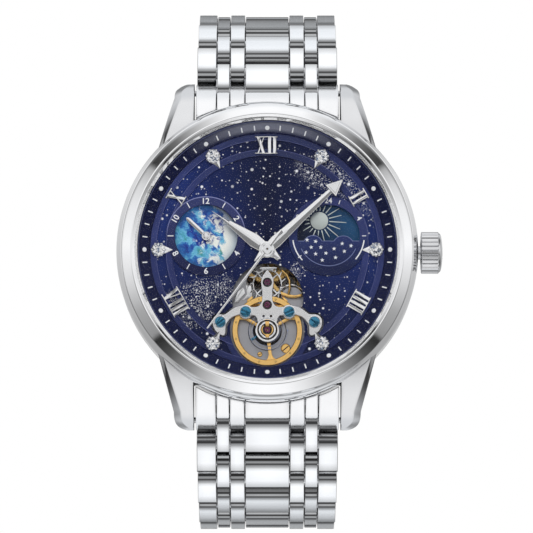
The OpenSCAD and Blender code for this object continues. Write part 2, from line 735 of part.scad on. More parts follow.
module at_hinge(k, turn) {
    translate([0, hinge_y(k), hinge_z(k)]) rotate([-turn, 0, 0]) children();
}

module bracelet_link(k) color(STEEL) upright() at_hinge(k - 1, slope(k)) link(k);

module link_12(k) bracelet_link(k);

module link_6(k) {
    mirror([0, 0, 1]) bracelet_link(k);
}

// End link: narrow bars reach past the spring bar as fingers, and the others stop short of the first link
module end_link() difference() {
    root_y = case_r - 4.5;
    intersection() {
        union() {
            both_sides() for (i = [0:3]) {
                c = columns(0)[i];
                along_x(i == 0 ? -0.01 : c[0], i == 3 ? end_x : c[1]) polygon(is_odd_column(i)
                    ? [[root_y, 0.9], [bar_y + 1.25, 0.9], [bar_y + 1.4, 1.1], [bar_y + 1.4, 9], [root_y, 9]]
                    : [[root_y, 0.9], [bar_y - 0.05, 0.9], [bar_y - 0.05, 9], [root_y, 9]]);
            }
            along_x(-end_x, end_x) polygon([[root_y, 0.9], [bar_y - link_r - 0.2, 0.9], [bar_y - link_r - 0.2, 3],
                [bar_y - link_r + 0.3, bar_z + link_r + 0.25], [bar_y - 0.7, bar_z + link_r + 0.25],
                [bar_y - 0.7, 3.9], [root_y, 4]]);
        }
        rod_x(-lug_in, lug_in, lug_arch_y, lug_arch_z, lug_arch_r);
    }
    disc(case_r + 0.12, -1, 13);
    both_sides() {
        for (i = [0, 2]) {
            c = columns(1)[i];
            rod_x(c[0] - (i == 0 ? 1 : col_gap), c[1] + col_gap, bar_y, bar_z, link_r + link_gap);
        }
        for (i = [1, 3]) rod_x(columns(0)[i][0] - 0.01, columns(0)[i][1] + 0.2,
            bar_y + (link_gap + link_r - NEAR_END * link_pitch) * cos(first_slope),
            bar_z - (link_gap + link_r - NEAR_END * link_pitch) * sin(first_slope), link_r + 0.12);
    }
    rod_x(-lug_in - 1, lug_in + 1, bar_y, bar_z, spring_bar_r + slip);
}

module end_links() color(STEEL) upright() both_ends() end_link();

module spring_bars() color(DARK_STEEL) upright() both_ends() union() {
    rod_x(-end_x + 0.4, end_x - 0.4, bar_y, bar_z, spring_bar_r);
    rod_x(-lug_in - tip_depth + 0.1, lug_in + tip_depth - 0.1, bar_y, bar_z, spring_tip_r);
}

// Crown: fluted cap with a hollow for the tube and a boss that holds the stem
module crown() color(STEEL) upright() translate([crown_x, 0, crown_z]) rotate([0, 90, 0]) difference() {
    r = crown_d / 2;
    rotate_extrude() polygon([
        [tube_r + 0.7, 0], [r - 0.25, 0], [r, 0.25], [r, crown_l - 0.45], [r - 0.3, crown_l - 0.2],
        [r * 0.6, crown_l - 0.05], [0, crown_l], [0, 2.05], [tube_r + 0.7, 2.05]]);
    for (i = [0:crown_flutes - 1]) rotate([0, 0, 360 * i / crown_flutes])
        translate([r + 0.1, 0, -1]) cylinder(r = 0.24, h = crown_l + 0.65, $fn = 24);
    translate([0, 0, 1]) cylinder(r = stem_r, h = 1.6);
}

module winding_stem() color(DARK_STEEL) upright() union() {
    rod_x(plate_r - 6, crown_x + 2.6, 0, crown_z, stem_r);
    translate([plate_r - 7.5, -stem_r * 0.7, crown_z - stem_r * 0.7]) cube([1.6, stem_r * 1.4, stem_r * 1.4]);
}

module crown_seal() color(RUBBER) upright() translate([crown_x + 0.25, 0, crown_z]) rotate([0, 90, 0])
    ring(tube_r + run_gap, tube_r + 0.7 - run_gap, 0, 0.55);

// Gear outline: straight-sided teeth, one of them on the x axis
function gear(teeth, pitch_r, deep = 0.55) = [
    for (i = [0:teeth - 1], p = [[-0.3, -1.15 * deep], [-0.13, deep], [0.13, deep], [0.3, -1.15 * deep]])
        let (a = 360 * (i + p[0]) / teeth, r = pitch_r + p[1] * 2 * pitch_r / teeth) r * [cos(a), sin(a)]];

function pitch(teeth, other, distance) = distance * teeth / (teeth + other);

function toward(from, to) = atan2(to.y - from.y, to.x - from.x);

module gear_disc(teeth, pitch_r, z0, z1, turn, deep = 0.55) {
    translate([0, 0, z0]) rotate([0, 0, turn]) linear_extrude(z1 - z0) polygon(gear(teeth, pitch_r, deep));
}

// Opens a wheel's web between hub and rim, leaving spokes
module spoke_windows(r_in, r_out, z0, z1, spokes, spoke_w, turn = 0) difference() {
    ring(r_in, r_out, z0, z1);
    for (i = [0:spokes - 1]) rotate([0, 0, turn + 360 * i / spokes])
        translate([0, -spoke_w / 2, z0 - 1]) cube([r_out + 1, spoke_w, z1 - z0 + 2]);
}

third_distance = norm(third_at);
barrel_distance = norm(barrel_at);
minute_distance = norm(minute_at);
center_pitch = pitch(CENTER_TEETH, THIRD_PINION, third_distance);
third_pitch = pitch(THIRD_TEETH, FOURTH_PINION, third_distance);
fourth_pitch = pitch(FOURTH_TEETH, ESCAPE_PINION, escape_y);
barrel_pitch = pitch(BARREL_TEETH, CENTER_PINION, barrel_distance);
minute_pitch = pitch(MINUTE_TEETH, CANNON_TEETH, minute_distance);
hour_pitch = pitch(HOUR_TEETH, MINUTE_PINION, minute_distance);

// Turn of a pinion or wheel at a that puts a gap towards the tooth of the wheel at b
function gap_turn(a, b, teeth) = toward(a, b) + 180 / teeth;

module center_wheel() color(GOLD) upright() difference() {
    union() {
        difference() {
            gear_disc(CENTER_TEETH, center_pitch, center_z, center_z + wheel_t, toward([0, 0], third_at));
            spoke_windows(1, center_pitch - 0.5, center_z - 1, center_z + 1, 4, 0.4, 20);
        }
        gear_disc(CENTER_PINION, barrel_distance - barrel_pitch, center_z + 0.1, barrel_z + 0.35,
            gap_turn([0, 0], barrel_at, CENTER_PINION), 0.45);
        disc(center_tube_r, center_z - 0.1, minute_z + hand_t / 2);
        gear_disc(CANNON_TEETH, minute_distance - minute_pitch, plate_top + 0.1, plate_top + 0.6,
            gap_turn([0, 0], minute_at, CANNON_TEETH), 0.45);
    }
    disc(second_arbor_r + run_gap, 0, 20);
}

module third_wheel() color(GOLD) upright() translate([third_at.x, third_at.y, 0]) union() {
    difference() {
        gear_disc(THIRD_TEETH, third_pitch, third_z, third_z + wheel_t, toward(third_at, [0, 0]));
        spoke_windows(0.9, third_pitch - 0.45, third_z - 1, third_z + 1, 4, 0.35, 10);
    }
    gear_disc(THIRD_PINION, third_distance - center_pitch, center_z - 0.1, center_z + wheel_t + 0.1,
        gap_turn(third_at, [0, 0], THIRD_PINION), 0.45);
    disc(arbor_r, train_z + slip, plate_z - slip);
    disc(pivot_r, bridge_z + 0.15, plate_z + 0.3);
}

module fourth_wheel() color(GOLD) upright() union() {
    difference() {
        gear_disc(FOURTH_TEETH, fourth_pitch, fourth_z, fourth_z + wheel_t, toward([0, 0], escape_at));
        spoke_windows(0.9, fourth_pitch - 0.45, fourth_z - 1, fourth_z + 1, 4, 0.35, 35);
    }
    gear_disc(FOURTH_PINION, third_distance - third_pitch, fourth_z + wheel_t - 0.02, third_z + wheel_t + 0.1,
        gap_turn([0, 0], third_at, FOURTH_PINION), 0.45);
    disc(second_arbor_r, bridge_z + 0.25, second_z + hand_t / 2);
}

module minute_wheel() color(GOLD) upright() translate([minute_at.x, minute_at.y, 0]) union() {
    gear_disc(MINUTE_TEETH, minute_pitch, plate_top + 0.2, plate_top + 0.45, toward(minute_at, [0, 0]));
    gear_disc(MINUTE_PINION, minute_distance - hour_pitch, plate_top + 0.4, plate_top + 1.1,
        toward(minute_at, [0, 0]), 0.45);
    disc(arbor_r, plate_top + slip, dial_z - 0.3);
    disc(pivot_r, plate_top - 0.35, plate_top + 0.3);
}

// Barrel: open drum with the toothed flange on the dial side, its arbor in the train bridge
drum_r = 4.1;
drum_wall = 0.3;
barrel_arbor_r = 0.5;

module barrel() color(GOLD) upright() translate([barrel_at.x, barrel_at.y, 0]) union() {
    gear_disc(BARREL_TEETH, barrel_pitch, barrel_z, barrel_z + 0.25, toward(barrel_at, [0, 0]));
    ring(drum_r - drum_wall, drum_r, train_z + 0.1, barrel_z + 0.05);
    disc(barrel_arbor_r, train_z - 0.4, barrel_z + 0.05);
}

MAINSPRING_TURNS = 6;

module mainspring() color([0.5, 0.55, 0.65]) upright() translate([barrel_at.x, barrel_at.y, train_z + 0.2])
    linear_extrude(barrel_z - train_z - 0.3)
        polygon(spiral(barrel_arbor_r + 0.15, (drum_r - drum_wall - barrel_arbor_r - 0.35) / MAINSPRING_TURNS,
            MAINSPRING_TURNS, 0.12, 36));

// Escape wheel: a thin rim with long slanted teeth and four thin spokes
rim_share = 0.77;

function escape_outline() = [
    for (i = [0:ESCAPE_TEETH - 1], p = [[0, rim_share], [0.36, 0.99], [0.42, 1], [0.47, 0.98], [0.22, rim_share]])
        let (a = 360 * (i + p[0]) / ESCAPE_TEETH) escape_d / 2 * p[1] * [cos(a), sin(a)]];

module escape_wheel() color(STEEL) upright() translate([escape_at.x, escape_at.y, 0]) union() {
    difference() {
        translate([0, 0, escape_z]) rotate([0, 0, -90]) linear_extrude(fork_t) polygon(escape_outline());
        spoke_windows(0.55, escape_d / 2 * rim_share - 0.2, escape_z - 1, escape_z + 1, 4, 0.22, 45);
    }
    gear_disc(ESCAPE_PINION, escape_y - fourth_pitch, fourth_z - slip, fourth_z + wheel_t + slip,
        gap_turn(escape_at, [0, 0], ESCAPE_PINION), 0.45);
    disc(arbor_r, train_z + slip, balance_bridge_z - slip);
    disc(pivot_r, bridge_z + 0.15, balance_bridge_z + 0.4);
}

// Pallet fork: two arms with pallet stones just outside the escape wheel, and a lever to the balance
pallet_turn = 48;
notch_reach = 1;

module pallet_fork() color(GOLD) upright() translate([fork_at.x, fork_at.y, 0]) {
    pallet = [sin(pallet_turn), -cos(pallet_turn)] * (escape_d / 2 + 0.1) + [0, fork_y - escape_y];
    lever = balance_y - fork_y - notch_reach;
    union() {
        translate([0, 0, escape_z]) linear_extrude(fork_t) union() {
            circle(r = 0.5);
            both_sides() {
                polygon([[0.1, -0.3], [0.75, -0.05], [2.4, -0.15], [2.85, 0.15], [2.7, 0.85], [2.3, 0.75],
                    [2.2, 0.3], [0.9, 0.3], [0, 0.35]]);
                translate(pallet) rotate([0, 0, pallet_turn]) translate([-0.16, -0.9]) square([0.32, 0.9]);
                polygon([[0.1, -0.3], [0.3, -0.3], [0.2, -lever + 0.25], [0.42, -lever - 0.12],
                    [0.16, -lever - 0.12], [0.16, -lever + 0.2], [0, -lever + 0.3]]);
            }
            translate([-0.12, -lever + 0.25]) square([0.24, lever - 0.25]);
        }
        disc(arbor_r, plate_top + slip, balance_bridge_z - slip);
        disc(pivot_r, plate_z + 0.2, balance_bridge_z + 0.4);
    }
}

SPOKE_TURNS = [-83, 30, 150];

module balance_wheel() color(GOLD) upright() translate([balance_at.x, balance_at.y, 0]) union() {
    r = balance_d / 2;
    ring(r - rim_w, r, balance_z, balance_z + rim_t);
    // Each spoke widens where it meets the rim
    for (a = SPOKE_TURNS) rotate([0, 0, a]) translate([0, 0, balance_z + 0.05]) linear_extrude(0.3)
        polygon([[0, -0.25], [r - rim_w - 0.7, -0.22], [r - rim_w - 0.25, -0.4], [r - rim_w + 0.1, -0.85],
            [r - rim_w + 0.1, 0.85], [r - rim_w - 0.25, 0.4], [r - rim_w - 0.7, 0.22], [0, 0.25]]);
    disc(0.62, balance_z - 0.1, balance_z + 0.4);
    disc(0.75, roller_z, roller_z + 0.2);
    translate([0, 0, roller_z]) linear_extrude(0.2) translate([-0.2, 0]) square([0.4, notch_reach + 0.15]);
    translate([0, notch_reach, roller_z - 0.13]) cylinder(r = 0.09, h = 0.3, $fn = 24);
    disc(arbor_r, plate_top + slip, balance_bridge_z - slip);
    disc(pivot_r, plate_z + 0.15, balance_bridge_z + 0.4);
}

// Rotor: half disc with a heavy rim, hanging down, on a ring around the post
module rotor() color(DARK_STEEL) upright() difference() {
    union() {
        difference() {
            union() {
                ring(rotor_r - 2.6, rotor_r, rotor_z, rotor_z + rotor_t);
                disc(rotor_r - 2.5, rotor_z + rotor_t - 0.6, rotor_z + rotor_t);
            }
            translate([-rotor_r - 1, -1.5, 0]) cube([2 * rotor_r + 2, rotor_r + 3, 10]);
            both_sides() rotate([0, 0, -58]) translate([rotor_r - 7.9, 0, 0]) cylinder(r = 2, h = 10);
        }
        disc(2.6, rotor_z, rotor_z + rotor_t);
    }
    disc(rotor_post_r + 0.04, 0, 10);
}

// Hands point to 12 before they are turned to the time shown
module hand_shape(l, w, tail, waist) polygon([
    [0, l], [w / 2, waist], [w * 0.24, 0.3], [w * 0.3, -tail], [-w * 0.3, -tail], [-w * 0.24, 0.3], [-w / 2, waist]]);

HOUR_TURN = 55;
MINUTE_TURN = -47.2;
SECOND_TURN = 143;
DUAL_TURN = 46.7;

module hour_hand() color(STEEL) upright() union() {
    difference() {
        translate([0, 0, hour_z]) linear_extrude(hand_t) rotate([0, 0, HOUR_TURN]) union() {
            hand_shape(hour_l, 1.5, 2.2, 2.6);
            circle(r = 1.05);
        }
        disc(center_tube_r + slip, 0, 20);
    }
    ring(center_tube_r + slip, hour_tube_r, plate_top + 0.75, hour_z + hand_t);
    difference() {
        gear_disc(HOUR_TEETH, hour_pitch, plate_top + 0.75, plate_top + 1, 90 + 180 / HOUR_TEETH);
        disc(center_tube_r + slip, 0, 20);
    }
}

module minute_hand() color(STEEL) upright() difference() {
    union() {
        translate([0, 0, minute_z]) rotate([0, 0, MINUTE_TURN]) linear_extrude(hand_t)
            polygon([[0, minute_l], [1.05, minute_l - 2.3], [0.4, minute_l - 2.3], [0.5, 2], [0.35, -2.4],
                [-0.35, -2.4], [-0.5, 2], [-0.4, minute_l - 2.3], [-1.05, minute_l - 2.3]]);
        disc(0.95, minute_z, minute_z + hand_t + 0.04);
    }
    disc(center_tube_r, 0, minute_z + hand_t / 2);
    disc(second_arbor_r + run_gap, 0, 20);
}

module second_hand() color(STEEL) upright() difference() {
    union() {
        translate([0, 0, second_z]) rotate([0, 0, SECOND_TURN]) linear_extrude(hand_t * 0.7)
            polygon([[-0.1, second_l], [0.1, second_l], [0.2, -3.2], [-0.2, -3.2]]);
        disc(0.65, second_z, second_z + hand_t);
    }
    disc(second_arbor_r, 0, second_z + hand_t / 2);
}

module dual_time_hand() color(STEEL) upright() translate([-small_dial_x, small_dial_y, 0]) union() {
    hand_z = dial_top - 0.1;
    translate([0, 0, hand_z]) linear_extrude(hand_t) rotate([0, 0, DUAL_TURN]) union() {
        polygon(concat([[-0.28, 0], [-0.22, -0.9], [0.22, -0.9], [0.28, 0]], arc([0, dual_l - 0.28], 0.28, 0, 180, 8)));
        circle(r = 0.57);
    }
    disc(arbor_r, plate_top - 0.3, hand_z + 0.1);
}

// Clasp plates follow the clasp's arc, between two turns from its lowest point
module clasp_plate(r0, r1, x, turn0, turn1) {
    translate([-x, 0, clasp_arc_z]) rotate([90, 0, 90]) rotate([0, 0, turn0 - 90])
        rotate_extrude(angle = turn1 - turn0, $fn = 360) translate([r0, 0]) square([r1 - r0, 2 * x]);
}

module at_clasp(turn, r) {
    translate([0, r * sin(turn), clasp_arc_z - r * cos(turn)]) rotate([turn, 0, 0]) children();
}

module knuckles(turn, r, spans) {
    at_clasp(turn, r) for (s = spans) rod_x(s[0], s[1], 0, 0, knuckle_r);
}

MIDDLE_SPAN = [[-knuckle_x, knuckle_x]];
side_spans = [[-blade_x, -knuckle_x - 0.1], [knuckle_x + 0.1, blade_x]];

module clasp_bore(turn, r) {
    at_clasp(turn, r) rod_x(-20, 20, 0, 0, clasp_pin_r + run_gap);
}

// Removes a blade's metal beyond a turn, between two distances from the middle line
module blade_cut(turn, r, x0, x1, forward) {
    at_clasp(turn, r) for (s = [-1, 1])
        translate([s > 0 ? x0 : -x1, forward ? 0 : -5, -2]) cube([x1 - x0, 5, 4]);
}

// Inner blade, hinged to the last link of the 6 o'clock side
module clasp_inner_blade() color(STEEL) upright() {
    difference() {
        union() {
            mirror([0, 1, 0]) at_hinge(LINKS, slope(LINKS + 1))
                link_bar(-col_1, col_1, NEAR_END * link_pitch + link_gap, 1.75, [[0, pin_r + run_gap]]);
            difference() {
                clasp_plate(inner_r0, inner_r0 + blade_t, blade_x - 1, -clasp_turn + 0.9, blade_hinge_turn);
                blade_cut(-clasp_turn + 1.7, inner_r0, col_1 - 0.2, blade_x, false);
                blade_cut(blade_hinge_turn - 0.9, inner_r0, knuckle_x, blade_x, true);
            }
            knuckles(blade_hinge_turn, blade_hinge_r, MIDDLE_SPAN);
        }
        clasp_bore(blade_hinge_turn, blade_hinge_r);
        mirror([0, 1, 0]) at_hinge(LINKS, slope(LINKS + 1)) rod_x(-5, 5, 0, 0, pin_r + run_gap);
    }
    mirror([0, 1, 0]) at_hinge(LINKS, 0) rod_x(-outer_x(LINKS) + 0.9, outer_x(LINKS) - 0.9, 0, 0, pin_r);
}

// Middle blade, between the inner blade's hinge at the top and the cover's hinge at the bottom
module clasp_middle_blade() color(STEEL) upright() {
    difference() {
        union() {
            difference() {
                clasp_plate(middle_r0, middle_r0 + blade_t, blade_x, cover_hinge_turn, blade_hinge_turn);
                blade_cut(cover_hinge_turn + 0.8, middle_r0, knuckle_x, blade_x + 1, false);
                blade_cut(blade_hinge_turn - 0.8, middle_r0, -1, knuckle_x + 0.1, true);
            }
            knuckles(blade_hinge_turn, blade_hinge_r, side_spans);
            knuckles(cover_hinge_turn, cover_hinge_r, MIDDLE_SPAN);
        }
        clasp_bore(blade_hinge_turn, blade_hinge_r);
        clasp_bore(cover_hinge_turn, cover_hinge_r);
    }
    for (h = [[blade_hinge_turn, blade_hinge_r], [cover_hinge_turn, cover_hinge_r]])
        at_clasp(h[0], h[1]) rod_x(-blade_x + 0.1, blade_x - 0.1, 0, 0, clasp_pin_r);
}

// Cover: outer plate with side walls, knuckles for the middle blade and bars that meet the last 12 o'clock link
module clasp_cover() color(STEEL) upright() {
    cover_r0 = clasp_arc_r + link_r - cover_t;
    cover_x = outer_x(LINKS + 1);
    wall_t = 1;
    bar_sink = 0.1;
    difference() {
        union() {
            difference() {
                clasp_plate(clasp_arc_r - 1.2, cover_r0 + cover_t, cover_x, -cover_reach, cover_reach);
                clasp_plate(clasp_arc_r - 3, cover_r0, cover_x - wall_t, -cover_reach - 1, cover_reach + 1);
            }
            knuckles(cover_hinge_turn, cover_hinge_r, side_spans);
            at_hinge(LINKS, slope(LINKS + 1)) translate([0, 0, -bar_sink]) {
                link_bar(-col_1, col_1, NEAR_END * link_pitch + link_gap, 3.6, []);
                both_sides()
                    link_bar(columns(LINKS)[2][0], columns(LINKS)[2][1], NEAR_END * link_pitch + link_gap, 3.6, []);
            }
        }
        // Room for the middle blade's knuckle, and bore of the pin
        at_clasp(cover_hinge_turn, cover_hinge_r) rod_x(-knuckle_x - 0.1, knuckle_x + 0.1, 0, 0, knuckle_r + 0.1);
        clasp_bore(cover_hinge_turn, cover_hinge_r);
    }
}

mid_case();
bezel();
crystal();
chapter_ring();
dial();
hour_numerals();
hour_gems();
gem_settings();
dual_time_ring();
globe_disc();
day_night_ring();
main_plate();
balance_bridge();
bridge_screws();
jewels();
train_bridge();
back_cover();
back_window();
back_gasket();
crown_tube();
hairspring();
end_links();
spring_bars();
crown_seal();
crown();
winding_stem();
hour_hand();
minute_hand();
second_hand();
dual_time_hand();
day_night_disc();
barrel();
mainspring();
center_wheel();
third_wheel();
fourth_wheel();
minute_wheel();
escape_wheel();
pallet_fork();
balance_wheel();
rotor();
for (k = [1:LINKS]) link_12(k);
for (k = [1:LINKS]) link_6(k);
clasp_inner_blade();
clasp_middle_blade();
clasp_cover();
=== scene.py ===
# %% [markdown]
# # An open-heart wristwatch on a steel bracelet
# The watch hangs upright in its closed bracelet loop. Its CAD solids give every main shape and moving body.
# This script dresses them: edges catch light, the dial gets its starry lacquer, and the hands get facets.

# %% Load the frame
import math
import bpy
import bmesh
from mathutils import Matrix, Vector


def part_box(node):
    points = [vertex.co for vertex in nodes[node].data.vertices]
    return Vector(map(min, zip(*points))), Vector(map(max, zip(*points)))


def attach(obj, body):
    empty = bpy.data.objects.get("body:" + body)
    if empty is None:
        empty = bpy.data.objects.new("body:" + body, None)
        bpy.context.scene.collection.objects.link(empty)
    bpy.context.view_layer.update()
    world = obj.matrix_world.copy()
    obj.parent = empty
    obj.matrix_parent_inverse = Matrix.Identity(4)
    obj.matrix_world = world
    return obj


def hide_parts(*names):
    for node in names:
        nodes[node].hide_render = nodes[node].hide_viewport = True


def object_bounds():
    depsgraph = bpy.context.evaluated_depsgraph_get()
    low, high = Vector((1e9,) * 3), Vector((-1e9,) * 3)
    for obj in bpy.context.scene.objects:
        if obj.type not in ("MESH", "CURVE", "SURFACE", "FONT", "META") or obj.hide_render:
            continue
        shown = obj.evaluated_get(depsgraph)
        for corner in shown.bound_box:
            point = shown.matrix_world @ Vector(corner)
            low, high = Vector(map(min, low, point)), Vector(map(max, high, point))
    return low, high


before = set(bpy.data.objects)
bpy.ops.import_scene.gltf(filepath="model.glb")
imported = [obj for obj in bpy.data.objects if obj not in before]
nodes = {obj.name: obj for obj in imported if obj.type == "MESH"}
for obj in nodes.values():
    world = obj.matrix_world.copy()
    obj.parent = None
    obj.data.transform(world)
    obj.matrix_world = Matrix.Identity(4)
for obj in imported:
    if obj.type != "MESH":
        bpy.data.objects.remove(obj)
cad_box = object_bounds()
scene = bpy.context.scene
MM = 0.001

# %% [markdown]
# ## A frame for the dial
# A watchmaker draws the dial flat: x runs to 3 o'clock, y to 12 o'clock and z out of the dial, in
# millimetres. One matrix stands that drawing up, so that every later piece can be drawn flat.

# %% Stand the dial's frame up
UPRIGHT = Matrix.Scale(MM, 4) @ Matrix.Rotation(math.pi / 2, 4, "X")


def front(node):
    """Height of a node's foremost point in the dial's frame, in millimetres."""
    return -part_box(node)[0].y / MM


def rear(node):
    """Height of a node's rearmost point in the dial's frame, in millimetres."""
    return -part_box(node)[1].y / MM


def spot(x, y, z=0.0, turn=0.0):
    """Matrix that takes a drawing to a place on the dial, turned counter-clockwise in degrees."""
    return UPRIGHT @ Matrix.Translation((x, y, z)) @ Matrix.Rotation(math.radians(turn), 4, "Z")


def linked(name, data):
    """A new object in the scene."""
    made = bpy.data.objects.new(name, data)
    scene.collection.objects.link(made)
    return made


print("dial top at", round(front("dial"), 2), "mm, crystal top at", round(front("crystal"), 2), "mm")

# %% [markdown]
# ## The camera
# The photograph was taken with a long lens from slightly below the dial's axis, because deeper parts appear
# a little lower. A long focal length keeps the case round.

# %% Place the camera
SIGHT = math.radians(6.3)
DISTANCE = 0.6
aim = Vector((-0.108, -9.48, -2.28)) * MM
camera = linked("camera", bpy.data.cameras.new("camera"))
camera.data.sensor_width = 36.0
camera.data.lens = 299.1
camera.location = aim + Vector((0.0, -math.cos(SIGHT), -math.sin(SIGHT))) * DISTANCE
camera.rotation_euler = (aim - camera.location).to_track_quat("-Z", "Y").to_euler()
scene.camera = camera
scene.view_settings.view_transform = "Standard"
print("camera at", [round(v, 4) for v in camera.location])

# %% [markdown]
# ## Short words for shader and geometry trees
# Node trees can be clicked together or written. Written ones stay readable when a socket can be reckoned with
# like a number, and a few words add a node, feed its inputs and return its output.

# %% Words for building node trees
class Field:
    """An output socket to reckon with. Each sign adds a Math node, and | takes the larger value."""

    def __init__(self, socket):
        self.socket = socket
        self.tree = socket.id_data

    def __add__(self, other):
        return calc("ADD", self, other)

    def __sub__(self, other):
        return calc("SUBTRACT", self, other)

    def __rsub__(self, other):
        return calc("SUBTRACT", other, self)

    def __mul__(self, other):
        return calc("MULTIPLY", self, other)

    def __truediv__(self, other):
        return calc("DIVIDE", self, other)

    def __rtruediv__(self, other):
        return calc("DIVIDE", other, self)

    def __or__(self, other):
        return calc("MAXIMUM", self, other)


def join(value, socket):
    """Links a field to an input, or sets the input to a plain value. None leaves it as it is."""
    if isinstance(value, Field):
        value.tree.links.new(value.socket, socket)
    elif value is not None:
        socket.default_value = value


def add(tree, kind, *values, **settings):
    """Adds a node, sets its properties and feeds its inputs in order."""
    made = tree.nodes.new(kind)
    for key, value in settings.items():
        setattr(made, key, value)
    for socket, value in zip(made.inputs, values):
        join(value, socket)
    return made


def out(node, key=0):
    """One output of a node."""
    return Field(node.outputs[key])


def outs(node):
    """All outputs of a node, in order."""
    return [Field(output) for output in node.outputs]


def calc(operation, *values, kind="ShaderNodeMath"):
    """A Math node's result, in the tree of the fields among its values."""
    tree = next(value.tree for value in values if isinstance(value, Field))
    return out(add(tree, kind, *values, operation=operation))


def vector(operation, *values):
    """A Vector Math node's first result."""
    return calc(operation, *values, kind="ShaderNodeVectorMath")


def fade(value, low, high, a=0.0, b=1.0):
    """A value mapped from one range to another and held at its ends."""
    return out(add(value.tree, "ShaderNodeMapRange", value, low, high, a, b))


def gloss(grain, smooth, rough):
    """A roughness that follows a noise."""
    return fade(grain, 0.3, 0.7, smooth, rough)


def within(value, low, high, soft=0.03):
    """One where a value lies between two limits, with soft edges."""
    return fade(value, low - soft, low + soft) * fade(value, high - soft, high + soft, 1.0, 0.0)


def mix(factor, a, b):
    """A mix of two colours."""
    made = add(factor.tree, "ShaderNodeMix", data_type="RGBA")
    join(factor, made.inputs[0])
    for index, value in ((6, a), (7, b)):
        join(value if isinstance(value, Field) else (*value, 1.0), made.inputs[index])
    return out(made, 2)


def ramp(factor, stops):
    """A colour ramp with stops of (place, colour)."""
    made = add(factor.tree, "ShaderNodeValToRGB", factor)
    line = made.color_ramp
    while len(line.elements) < len(stops):
        line.elements.new(0.5)
    for element, (place, colour) in zip(line.elements, stops):
        element.position = place
        element.color = (*colour, 1.0)
    return out(made)


def grey_ramp(factor, stops, tint=(1.0, 1.0, 1.0)):
    """A ramp with stops of (place, grey), under one tint."""
    return ramp(factor, [(place, [grey * part for part in tint]) for place, grey in stops])


def noise(place, scale, detail=2.0, rough=0.5, key=0):
    """A noise over a place."""
    return out(add(place.tree, "ShaderNodeTexNoise", place, None, scale, detail, rough), key)


def bumped(height, strength, distance):
    """A normal that a height bends."""
    made = add(height.tree, "ShaderNodeBump", strength, distance)
    join(height, made.inputs["Height"])
    return out(made)


def object_place(tree):
    """The place on the watch, in metres."""
    return out(add(tree, "ShaderNodeTexCoord"), "Object")


def sockets(tree, inputs, outputs):
    """Gives a group its named inputs and outputs, and returns the inputs by name."""
    for direction, kinds in (("INPUT", inputs), ("OUTPUT", outputs)):
        for name, kind in kinds.items():
            tree.interface.new_socket(name, in_out=direction, socket_type="NodeSocket" + kind)
    return {output.name: Field(output) for output in add(tree, "NodeGroupInput").outputs}


def group(tree, shared, **values):
    """Adds a shared group, feeds its inputs by name and returns its outputs."""
    made = add(tree, "ShaderNodeGroup", node_tree=shared)
    for key, value in values.items():
        join(value, made.inputs[key.replace("_", " ")])
    return outs(made)


# %% [markdown]
# ## Polar coordinates on the dial
# Almost everything on a watch is round: rings, brushing, marks. A shared group gives each finish the distance
# and the clock angle around any centre, in millimetres and in turns.

# %% Build the polar group
polar = bpy.data.node_groups.new("Polar", "ShaderNodeTree")
given = sockets(polar, {"Centre x": "Float", "Centre y": "Float"},
                {"Radius": "Float", "Turn": "Float", "x": "Float", "y": "Float", "Flat": "Vector"})
measured = vector("MULTIPLY", object_place(polar), (1 / MM,) * 3)
right, _, up = outs(add(polar, "ShaderNodeSeparateXYZ", measured))
x = right - given["Centre x"]
y = up - given["Centre y"]
radius = calc("SQRT", x * x + y * y)
turn = calc("FRACT", calc("ARCTAN2", x, y) / (2 * math.pi) + 1.0)
add(polar, "NodeGroupOutput", radius, turn, x, y, out(add(polar, "ShaderNodeCombineXYZ", x, y, 0.0)))
print("polar group has", len(polar.nodes), "nodes")


def around(material, centre=(0.0, 0.0)):
    """Distance, turn, x, y and flat place around a centre on the dial."""
    return group(material.node_tree, polar, Centre_x=centre[0], Centre_y=centre[1])


# %% [markdown]
# ## Metal finishes
# Polished steel is not quite a mirror: wiping leaves hairlines that vary its gloss. Satin steel has fine
# lines along one direction. One group draws both, from a noise that is stretched along the lines.

# %% Build the grain group and the metals
grain = bpy.data.node_groups.new("Grain", "ShaderNodeTree")
given = sockets(grain, {"Vector": "Vector", "Stretch": "Vector", "Low": "Float", "High": "Float",
                        "Depth": "Float"}, {"Roughness": "Float", "Normal": "Vector"})
lines = noise(vector("MULTIPLY", given["Vector"], given["Stretch"]), 1.0, 3.0, 0.6)
wear = noise(given["Vector"], 320.0)
rough = gloss(lines * 0.75 + wear * 0.25, given["Low"], given["High"])
add(grain, "NodeGroupOutput", rough, bumped(lines, given["Depth"], 0.00002))


def feed(material, **values):
    """Links or sets sockets of a material's shader."""
    shader = material.node_tree.nodes["Principled BSDF"]
    for key, value in values.items():
        join(value, shader.inputs[key.replace("_", " ")])


def finish(name, colour, metallic=1.0, roughness=0.3, **plain):
    """A Principled material, with plain values on its own sockets."""
    made = bpy.data.materials.new(name)
    made.use_nodes = True
    made.diffuse_color = (*colour, 1.0)
    feed(made, Base_Color=(*colour, 1.0), Metallic=metallic, Roughness=roughness, **plain)
    return made


def lined(made, place, stretch, low, high, depth):
    """Gives a material the grain's gloss and normal."""
    drawn = group(made.node_tree, grain, Vector=place, Stretch=stretch, Low=low, High=high, Depth=depth)
    feed(made, Roughness=drawn[0], Normal=drawn[1])
    return made


def grained(name, colour, stretch, low, high, depth, **plain):
    """A metal with a grain: stretch is the noise's scale along x, y and z."""
    made = finish(name, colour, **plain)
    place = object_place(made.node_tree)
    patches = fade(noise(place, 150.0), 0.35, 0.65)
    feed(made, Base_Color=mix(patches, [v * 0.96 for v in colour], colour))
    return lined(made, place, stretch, low, high, depth)


